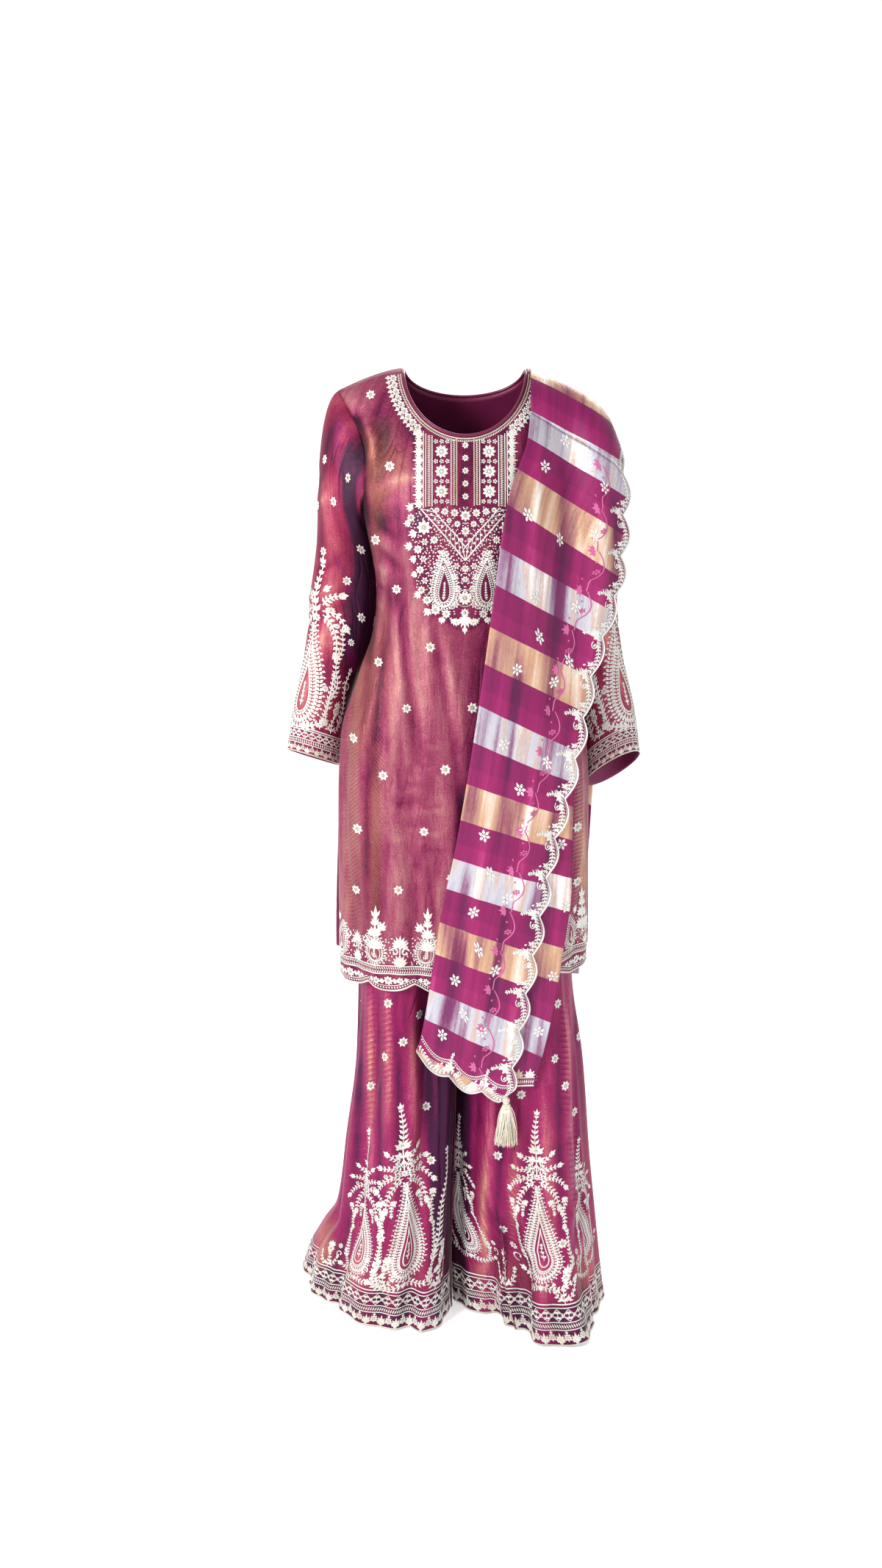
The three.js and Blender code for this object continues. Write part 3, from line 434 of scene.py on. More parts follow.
def kameez_panel(name, side, half_count, step, neck_share, folds):
    neck_drop = NECK_FRONT if side < 0 else NECK_BACK
    i = np.arange(2 * half_count + 1) - half_count
    part = np.abs(i) / half_count
    mirror = np.sign(i)
    bust = panel_row(UNDERARM, side, half_count)
    over = np.clip((part - neck_share) / (1 - neck_share), 0, 1)
    angle = np.minimum(1, part / neck_share) * np.pi / 2
    top_x = np.where(over > 0, mix(NECK_HALF, SHOULDER_HALF, over), NECK_HALF * np.sin(angle))
    top_z = np.where(over > 0, shoulder_line(mirror * top_x), -neck_drop * np.cos(angle))
    rows = []
    for f in np.linspace(0, 1, ARM_ROWS[side] + 1)[:-1]:
        share = mix(top_x / SHOULDER_HALF, np.abs(bust[:, 0]) / bust[-1, 0], f)
        x = mirror * ARMHOLE(f)["half"] * share
        z = mix(top_z, UNDERARM, f)
        y = side * np.maximum(body_depth(x, z, side), SEAM / 2)
        rows.append(np.stack([x, y, z], 1))
    levels = np.linspace(UNDERARM, KAMEEZ_HEM, int(round((UNDERARM - KAMEEZ_HEM) / step)) + 1)
    rows += [panel_row(z, side, half_count) for z in levels]
    cloth = Cloth(name, rows, SILK_THICK)
    cloth.show(len(rows) // 2, half_count, [0, side, 0])
    cloth.lay_out()
    share = np.linspace(0, 1, 2 * half_count + 1)
    width = cloth.A[:, -1] - cloth.A[:, 0]
    z = cloth.P[..., 2]
    fade = ease(np.minimum(share, 1 - share) * 16)  # folds die out at the side seams
    cloth.push(fold_height(folds, share[None] + 0 * z, width[:, None], z) * fade[None])
    low = np.clip((SCALLOPS_FROM - z) / (SCALLOPS_FROM - KAMEEZ_HEM), 0, 1)
    cloth.P[..., 2] += hem_cut(share)[None] * low**1.5
    # the hem rises towards the left, where the dupatta lies over it
    low = np.clip((LIFT_FROM - z) / (LIFT_FROM - KAMEEZ_HEM), 0, 1)
    cloth.P[..., 2] += HEM_LIFT[side] * ease((cloth.P[..., 0] - 40) / 170) * low
    return cloth


# Strokes in x and z. Under light, painted highlight above 0, where the shot silk is painted as catching gold, and
# painted shade below 0, where it is left dark, in folds, under the bust, between sleeve and body and along the
# dupatta's edge.
# Copper strokes paint the copper thread on as sheen where it shows, and crimps are fine ribs across the cloth.
kameez_front = kameez_panel("kameez_front_cloth", -1, 56, 4.8, 7 / 12, KAMEEZ_FRONT_FOLDS)
kameez_back = kameez_panel("kameez_back_cloth", 1, 38, 7.2, 5 / 9, KAMEEZ_BACK_FOLDS)
KAMEEZ_FRONT_STROKES = strokes("""
crease
# the tuck where the sleeve's cloth is drawn in at the right armhole, and its mate on the left
9 -6.5: -172 -56, -160 -98, -150 -140, -144 -176
9 5.6: -154 -74, -139 -114, -139 -150, -142 -190
13 -3.2: -130 -56, -120 -100, -122 -140
11 2: -108 -40, -104 -84, -112 -128
10 -3: 160 -80, 146 -130, 146 -185
# drawn across under the bust from the side seams
6 -2.8: -140 -226, -122 -240, -100 -262
6 2.4: -138 -244, -120 -262, -94 -290
6 -2.6: -134 -264, -116 -284, -88 -306
7 2.2: -143 -288, -118 -306, -96 -338
7 -2.2: -140 -318, -120 -336, -101 -372
6 1.8: -139 -345, -122 -366, -110 -402
3.6 1.6: -141 -206, -130 -214, -121 -209
3.4 -1.5: -142 -222, -128 -229, -117 -226, -108 -233
3.6 1.5: -139 -252, -130 -249, -119 -256, -110 -254
3.6 -1.5: -141 -276, -131 -272, -122 -279, -112 -277
3.8 1.4: -139 -300, -128 -296, -118 -303, -106 -299
3.8 -1.3: -140 -330, -130 -327, -117 -334
4.2 1.6: -124 -262, -121 -290, -124 -318, -118 -350
4.2 -1.5: -112 -270, -110 -300, -106 -340
4.6 -2: -97 -300, -99 -352, -93 -410, -90 -470
4.4 1.8: -84 -330, -82 -400, -76 -470, -71 -560
4.2 -1.6: -72 -372, -68 -430, -60 -500
4.6 2: -131 -372, -137 -450, -144 -530
4.6 -1.9: -56 -400, -46 -470, -32 -560, -24 -640
4.6 1.7: -22 -440, -6 -540, 2 -640
5 -1.8: -146 -600, -150 -700, -152 -820
5 1.6: -116 -760, -118 -840, -120 -915
5 -1.5: -74 -770, -78 -850, -80 -915
5 1.5: -36 -770, -38 -850, -42 -930
# long soft falls from the bust
9 3.4: -107 -300, -102 -400, -92 -520, -84 -640
8 -2.8: -94 -310, -88 -420, -78 -540, -70 -600
8 -3.2: -120 -330, -126 -440, -136 -560, -142 -640
9 2.6: -143 -350, -156 -450, -166 -560, -172 -700, -176 -860
10 3: -63 -320, -52 -420, -36 -520, -20 -600
9 -3.4: -48 -380, -34 -480, -14 -600, -6 -680
8 -1.8: -78 -420, -74 -520, -64 -600
9 2: -30 -395, -14 -470, 4 -560
7 1.8: -112 -470, -108 -560, -104 -640
10 -3: -128 -700, -132 -800, -134 -900
12 2.4: -92 -700, -96 -800, -98 -880
14 -2: -52 -700, -56 -800, -60 -900
12 2.6: -12 -690, -14 -800, -18 -920
9 -3: -2 -640, -2 -760, -6 -900
# lighter crumples across the hips
4.5 1.9: -118 -628, -98 -640, -74 -636, -52 -646
4 -1.7: -126 -646, -96 -656, -66 -652
4.5 2: -112 -664, -80 -672, -46 -664, -30 -670
4 -1.5: -104 -682, -84 -690, -58 -684
4 -1.6: -76 -654, -52 -662, -34 -654
4 1.5: -96 -612, -74 -618, -56 -612
4.5 1.6: -68 -694, -44 -702, -26 -694
4 1.4: -124 -704, -104 -712, -82 -706
4 -1.3: -60 -722, -36 -728, -20 -722
5 1.2: -90 -740, -64 -748, -44 -742
4 1.3: -60 -560, -46 -568, -30 -562
4 -1.3: -80 -590, -62 -598, -42 -590
# the same on the side that the dupatta covers
6 -2.4: 148 -232, 126 -250, 104 -276
6 2: 146 -262, 122 -284, 96 -306
7 -2.2: 142 -300, 120 -322, 102 -356
9 2.6: 176 -560, 184 -700, 188 -860
8 -2.6: 162 -600, 168 -740, 170 -880
6 2: 190 -690, 192 -800, 192 -930
light
34 -0.3: -90 -20, -110 -70, -96 -130
34 -0.34: 90 -20, 104 -70, 100 -160
14 0.12: -186 -20, -174 -50, -166 -76
9 -0.8: -168 -74, -160 -98, -155 -128
6 0.42: -146 -90, -138 -116, -139 -140
6 -0.6: -152 -160, -151 -200, -146 -240
8 0.3: -146 -198, -122 -177, -92 -166, -62 -172
18 0.06: -128 -206, -104 -194, -78 -206
14 -0.22: -140 -204, -128 -228, -122 -262
7 -0.34: -150 -236, -143 -300, -140 -350, -147 -420
12 -0.2: -118 -262, -108 -330, -104 -400
9 0.16: -128 -330, -136 -420, -148 -540, -154 -640
8 0.14: -132 -560, -134 -700, -136 -900
7 0.1: -118 -340, -112 -460, -104 -600
7 -0.2: -150 -560, -152 -700, -154 -900
8 0.2: -80 -330, -72 -440, -60 -560
10 -0.16: -58 -300, -50 -380, -40 -450
9 0.16: -40 -340, -28 -440, -10 -560
26 -0.3: 10 -380, 26 -470, 20 -620, 10 -760, -4 -950
10 -0.24: -4 -620, -6 -760, -10 -940
12 0.12: -60 -790, -62 -860, -64 -930
10 0.16: 178 -660, 188 -760, 194 -900
28 -0.3: 120 -110, 116 -200, 110 -300
26 -0.26: -124 -196, -98 -222, -78 -262
22 -0.16: -128 -80, -118 -126, -112 -168
14 -0.2: -142 -380, -148 -480, -158 -600
20 -0.12: -70 -150, -76 -110, -84 -70
18 -0.14: -126 -400, -138 -500, -146 -620
22 -0.12: -150 -700, -152 -800, -156 -930
30 -0.08: -86 -500, -84 -600, -82 -760
15 -0.46: -146 -84, -138 -128, -130 -166, -120 -200
10 -0.6: -164 -170, -158 -232, -151 -300, -147 -370, -152 -450
rust
11 0.85: -154 -86, -142 -140, -134 -210, -138 -290
9 0.35: -128 -110, -122 -160, -116 -230
9 0.6: -154 -330, -161 -420, -172 -540, -178 -680, -180 -920
6 0.25: -122 -330, -118 -460, -112 -600
8 0.8: -134 -560, -138 -720, -140 -930
6 0.2: -84 -420, -76 -540, -70 -680
8 0.5: 182 -640, 190 -760, 196 -920
10 0.6: 150 -110, 140 -170, 136 -240
24 0.62: -128 -76, -119 -126, -113 -172
14 0.3: -100 -120, -96 -170
19 0.62: -140 -340, -141 -420, -148 -500, -158 -600
12 0.3: -158 -620, -164 -760, -168 -900
7 0.5: -136 -198, -114 -184, -90 -172
crimp
11: -172 -500, -174 -700, -176 -900
8: -133 -540, -135 -700, -137 -880
10: 176 -600, 180 -760, 184 -900
""")
# the back's strokes, with painted highlight and shade and painted copper sheen, as on the front
KAMEEZ_BACK_STROKES = strokes("""
crease
10 -3.2: -150 -90, -138 -140, -140 -190
10 -3: 150 -95, 140 -150, 142 -195
15 -2: -120 -120, -60 -150, 20 -146, 90 -128
8 -2.6: -146 -238, -118 -262, -84 -280
8 -2.4: 147 -230, 116 -256, 88 -270
8 2.4: -142 -290, -108 -316, -70 -322
8 2: 141 -300, 100 -320, 66 -330
9 -2.4: -136 -340, -96 -356, -40 -352, 10 -364
8 -2.2: 138 -352, 96 -372, 52 -372
8 1.8: -120 -380, -60 -392, 0 -386
13 -3.4: -60 -300, -66 -420, -84 -560, -96 -720
13 -3.2: 50 -310, 60 -440, 72 -580, 90 -760
16 3: -4 -360, 0 -480, 6 -640, 2 -820
12 3.4: -112 -420, -132 -560, -148 -720, -160 -900
12 3: 108 -430, 128 -580, 146 -740, 158 -910
10 -3.2: -150 -560, -172 -700, -184 -860
10 -3.2: 150 -570, 168 -720, 182 -880
5 1.6: -70 -640, -50 -652, -20 -646
5 -1.6: 30 -664, 62 -676, 92 -668
5 1.4: -100 -690, -74 -700, -46 -694
5 1.5: -36 -720, -2 -730, 36 -722
14 2.6: -40 -760, -44 -860, -50 -940
14 -2.6: 44 -780, 50 -870, 54 -945
14 2.4: 110 -760, 118 -860, 124 -945
14 -2.4: -104 -800, -112 -880, -116 -945
light
12 0.3: -112 -420, -132 -560, -148 -720, -160 -900
12 0.26: 108 -430, 128 -580, 146 -740, 158 -910
12 -0.2: -60 -300, -66 -420, -84 -560, -96 -720
12 -0.2: 50 -310, 60 -440, 72 -580, 90 -760
14 0.16: -4 -360, 0 -480, 6 -640, 2 -820
20 0.22: -130 -70, -122 -130, -112 -190
20 0.2: 128 -80, 120 -140, 112 -190
rust
11 0.7: -150 -90, -140 -150, -134 -230
11 0.7: 150 -90, 140 -150, 136 -230
10 0.5: -150 -340, -166 -480, -180 -660, -190 -900
10 0.5: 150 -340, 166 -480, 180 -660, 188 -900
7 0.25: -36 -420, -40 -600, -46 -800
crimp
12: -166 -560, -176 -740, -182 -900
10: 140 -560, 150 -740, 160 -900
""")
for cloth, rows in ((kameez_front, KAMEEZ_FRONT_STROKES), (kameez_back, KAMEEZ_BACK_STROKES)):
    cloth.fold(rows)
    cloth.tint(rows)


# ---------- sleeves ----------
SLEEVE = "z midX midY halfX halfY tip lean"
UPPER = "-255 184 15 46 53 0 0; -300 186 27 51 48 2 1; -350 189 38 56 46 3 2; -410 197 45 54 45 5 3;"
SLEEVES = {
    "right": table(SLEEVE, UPPER + "-480 219 48 45 44 8 5; -550 237 49 42 43 11 8; -611 246 49 42 43 13 10"),
    "left": table(SLEEVE, UPPER + "-480 219 48 45 44 10 10; -560 238 49 43 43 17 18; -630 246 49 44 43 23 25"),
}
# how far the cap bulges over a straight run from the armhole to the first ring
CAP_BULGE = {"out": 17, "up": 96, "sideOut": 8, "sideUp": 22, "underOut": 9, "forward": -20, "rearward": 16}
CAP_PEAK = 1.5
SLEEVE_COLUMNS, CAP_ROWS, TUBE_ROWS = 72, 22, 84


def armhole_edge(side):
    """The armhole's edge from the shoulder point round the front to the underarm and up the back, on +X."""
    halves = []
    for facing, cloth in ((-1, kameez_front), (1, kameez_back)):
        column = cloth.P[: ARM_ROWS[facing] + 1, -1 if side == "left" else 0].copy()
        column[:, 0] = np.abs(column[:, 0])
        halves.append(evenly(column, np.linspace(0, 1, SLEEVE_COLUMNS // 2 + 1)))
    front, back = halves
    return np.vstack([front, back[::-1][1:-1]])


def sleeve(side):
    """A cap from the armhole to the ring where the arm's tube starts, then the tube down to the cuff."""
    edge = armhole_edge(side)
    count = len(edge)
    angle = 2 * np.pi * np.arange(count) / count
    # just inside the edge at the seam, and over it under the arm
    edge = edge + np.stack([-0.8 + 1.9 * ease((-np.cos(angle) - 0.5) / 0.4), 0 * angle, 0 * angle], 1)
    section = SLEEVES[side]

    def ring(z):
        s = section(z)
        x = s["midX"] + s["halfX"] * np.cos(angle)
        y = s["midY"] - s["halfY"] * np.sin(angle)
        return np.stack([x, y, z + s["tip"] * np.cos(angle) + s["lean"] * np.sin(angle)], 1)

    first = ring(SLEEVE_RING)
    top, low, flank = np.maximum(0, np.cos(angle)), np.maximum(0, -np.cos(angle)), np.abs(np.sin(angle))
    bulge = np.stack(
        [
            CAP_BULGE["out"] * top + CAP_BULGE["sideOut"] * flank + CAP_BULGE["underOut"] * low,
            np.where(np.sin(angle) > 0, CAP_BULGE["forward"], CAP_BULGE["rearward"]) * flank,
            CAP_BULGE["up"] * top**CAP_PEAK + CAP_BULGE["sideUp"] * flank,
        ],
        1,
    )
    control = (edge + first) / 2 + bulge
    rows = [mix(mix(edge, control, t), mix(control, first, t), t) for t in np.linspace(0, 1, CAP_ROWS + 1)[:-1]]
    rows += [ring(z) for z in np.linspace(SLEEVE_RING, CUFF[side], TUBE_ROWS + 1)]
    grid = np.array(rows)
    # columns start at the inner side, so that the middle column runs down the outside of the arm
    grid = np.roll(grid, count // 2, axis=1)
    grid = np.concatenate([grid, grid[:, :1]], axis=1)
    if side == "right":
        grid[..., 0] *= -1
    cloth = Cloth(f"sleeve_{side}_cloth", grid, 1.2, wrap=True)
    cloth.show(60, count // 2, grid[60, count // 2] - grid[60, 0])
    # soften the turn between the cap and the tube
    for _ in range(10):
        smooth = cloth.P.copy()
        smooth[1:-1] = (cloth.P[:-2] + 2 * cloth.P[1:-1] + cloth.P[2:]) / 4
        weight = np.exp(-(((np.arange(len(grid)) - CAP_ROWS) / 6.0) ** 2))[:, None, None]
        cloth.P = mix(cloth.P, smooth, weight)
    cloth.lay_out()
    return cloth


sleeves = {side: sleeve(side) for side in ("right", "left")}
# Across from the outside of the arm (the front of the right arm is at -A) and up from the cuff. Under light,
# painted highlight above 0 and painted shade below 0, darkest down the inner side of the arm, next to the body.
SLEEVE_STROKES = strokes("""
crease
9 -2.6: -60 470, -20 440, 30 452
8 2.6: -74 430, -34 404, 10 410
8 -2.8: -78 330, -44 300, -6 306
8 2.8: -84 290, -50 262, -14 250, 26 262
7 -2.6: -90 256, -58 226, -24 214
10 2.8: -66 214, -40 180, -32 130
11 2.4: -40 480, -44 400, -56 320
11 -2.8: -88 400, -84 300, -76 200
11 -2.4: -56 170, -60 110, -56 60
12 -2.6: 40 440, 58 360, 56 280
12 2.6: 76 410, 84 320, 78 220
8 -2.6: 30 300, 58 276, 92 286
8 2.4: 34 262, 64 240, 96 250
8 -2.2: 40 226, 66 206, 94 214
12 2.4: 60 180, 66 110, 60 50
12 -1.8: 20 200, 28 140, 24 80
10 -2.4: 100 420, 112 330, 110 230
9 2: -112 420, -118 320, -112 220
light
20 -0.8: -126 600, -124 300, -124 40
20 -0.8: 126 600, 126 300, 124 40
14 -0.4: -104 560, -92 500, -98 440
30 -0.42: -30 560, -40 500, -50 440
26 -0.24: -14 520, -20 420, -16 300
16 -0.2: -70 500, -76 420, -74 350
15 0.1: -52 470, -58 400, -64 330
16 0.14: -70 330, -66 240, -60 150
9 0.22: -50 200, -40 120, -38 60
8 -0.26: -34 420, -36 320, -30 200
12 -0.4: -92 300, -88 200, -84 90
12 -0.34: -104 460, -100 360, -100 280
8 -0.3: -60 180, -68 140, -66 96
16 0.28: 66 440, 76 320, 74 180
12 -0.3: 100 400, 104 260, 98 120
10 -0.2: 44 380, 50 260, 46 120
15 -0.36: -114 540, -108 440, -106 300, -104 150
""")
for side, cloth in sleeves.items():
    # A grows from the front of the arm to the back on the right, the other way on the left
    sign = 1 if cloth.P[70, 10, 1] < cloth.P[70, -11, 1] else -1
    cloth.A = cloth.A * sign
    # the left sleeve's creases lie elsewhere and are lighter, so the two aren't mirror images
    shift, depth, jogs = (0, 1, (0, 0, 0)) if side == "right" else (14, 0.9, (6, -4, -4))
    for n, (path, wide, high) in enumerate(SLEEVE_STROKES["crease"]):
        moved = [(a, b + shift + jogs[n % 3]) for a, b in path]
        cloth.crease(moved, wide, high * depth, fields=(cloth.A, cloth.B))
    for path, wide, amount in SLEEVE_STROKES["light"]:
        cloth.paint([(a, b + shift) for a, b in path], wide, amount, cloth.tone, fields=(cloth.A, cloth.B))
    cloth.lay_out()
    cloth.A = cloth.A * sign


# ---------- sharara ----------
HIPS = table("z half front back", """
-385 127 90 78; -420 131 92 82; -480 150 98 94; -560 164 102 104; -720 167 104 110
""")
LEG = "z outX outY frontX frontY inX inY backX backY round"
LEGS = {
    "right": table(LEG, """
-720 167 0 84 -104 4 -20 84 110 0.8; -950 171 4 92 -106 7 -40 86 115.6 0.85
-1100 177 8 98 -112 10 -50 88 120 0.9; -1250 197 14 100 -121 14 -56 92 128 0.95
-1380 215 28 96 -131 17 -60 98 136 1; -1440 246 46 88 -137 18 -62 104 142 1.05
-1490 270 60 80 -143 18 -66 110 148 1.1; -1529 281 70 74 -148 18 -72 116 152 1.15
"""),
    "left": table(LEG, """
-720 167 0 84 -104 -1 20 84 110 0.8; -950 177 2 100 -108 -3 30 86 114.2 0.8
-1100 194 4 114 -115 -8 34 88 120 0.8; -1250 205 6 126 -125 -14 36 92 128 0.82
-1380 219 8 142 -139 -18 38 98 136 0.88; -1440 226 10 152 -153 -20 38 104 142 0.94
-1490 232 12 158 -172 -22 38 110 148 1; -1529 238 15 165 -186 -22 38 116 152 1.05
"""),
}
RIGHT_FRONT_FOLDS = grid("""
0.1 0.12 22 -9 -700 -1150; 0.22 0.24 24 8 -800 -1250; 0.34 0.37 20 -12 -760 -1200
0.5 0.53 34 8 -760 -1200; 0.68 0.72 24 -16 -760 -1200; 0.84 0.86 26 8 -900 -1400
""")
LEFT_FRONT_FOLDS = grid("""
0.1 0.1 22 8 -760 -1250; 0.2 0.22 20 -10 -760 -1200; 0.36 0.36 34 12 -900 -1480
0.52 0.55 24 -12 -800 -1300; 0.66 0.7 40 -22 -1200 -1520; 0.84 0.84 20 9 -860 -1300
""")
LEG_BACK_FOLDS = grid("""
0.14 0.12 24 -10 -700 -1200; 0.3 0.31 26 9 -760 -1240; 0.47 0.48 24 -13 -700 -1200
0.64 0.66 28 9 -760 -1240; 0.82 0.84 24 -11 -760 -1240
""")


def leg_row(leg, z, side, columns):
    """One row of a leg's panel on +X: round the hips above the crotch, round the leg below it."""
    part = ease((CROTCH_TOP - z) / (CROTCH_TOP - CROTCH_POINT))
    hips = HIPS(z)
    deep = hips["front"] if side < 0 else hips["back"]
    angle = np.linspace(0, np.pi / 2, 120)
    x = np.maximum(hips["half"] * np.clip(np.cos(angle), 0, 1) ** (2 / SECTION_POWER), SEAM / 2)
    over_hips = np.stack([x, side * deep * np.sin(angle) ** (2 / SECTION_POWER), np.full_like(x, z)], 1)
    s = LEGS[leg](z)
    mid_x, mid_y = (s["frontX"], s["frontY"]) if side < 0 else (s["backX"], s["backY"])

    def arc(end_x, end_y, angle):
        x = mid_x + (end_x - mid_x) * np.clip(np.cos(angle), 0, 1) ** s["round"]
        y = end_y + (mid_y - end_y) * np.sin(angle) ** s["round"]
        return np.stack([x, y, np.full_like(x, z)], 1)

    over_leg = np.vstack([arc(s["outX"], s["outY"], angle), arc(s["inX"], s["inY"], angle[::-1])[1:]])
    shares = np.linspace(0, 1, columns + 1)
    row = mix(evenly(over_hips, shares), evenly(over_leg, shares), part)
    row[0, 1] = mix(0, s["outY"], part) + side * SEAM / 2
    if part == 1:
        row[-1, 1] = s["inY"] + side * SEAM / 2
    return row


def leg_panel(name, which, side, columns, step, folds, cad_columns):
    levels = np.linspace(LEG_TOP, SHARARA_HEM, int(round((LEG_TOP - SHARARA_HEM) / step)) + 1)
    grid = np.array([leg_row(which, z, side, columns) for z in levels])
    if which == "right":
        grid[..., 0] *= -1
    cloth = Cloth(name, grid, SILK_THICK)
    cloth.show(20, columns // 2, [0, side, 0])
    cloth.lay_out()
    share = np.linspace(0, 1, columns + 1)[None] + np.zeros((len(levels), 1))
    fade = ease(np.minimum(share, 1 - share) * cad_columns / 1.5)
    cloth.push(fold_height(folds, share, cloth.A[:, -1:] - cloth.A[:, :1], cloth.P[..., 2]) * fade)
    cloth.lay_out()
    return cloth


legs = {
    "right_front": leg_panel("leg_right_front_cloth", "right", -1, 104, 5.8, RIGHT_FRONT_FOLDS, 18),
    "left_front": leg_panel("leg_left_front_cloth", "left", -1, 104, 5.8, LEFT_FRONT_FOLDS, 18),
    "right_back": leg_panel("leg_right_back_cloth", "right", 1, 64, 8.2, LEG_BACK_FOLDS, 14),
    "left_back": leg_panel("leg_left_back_cloth", "left", 1, 64, 8.2, LEG_BACK_FOLDS, 14),
}
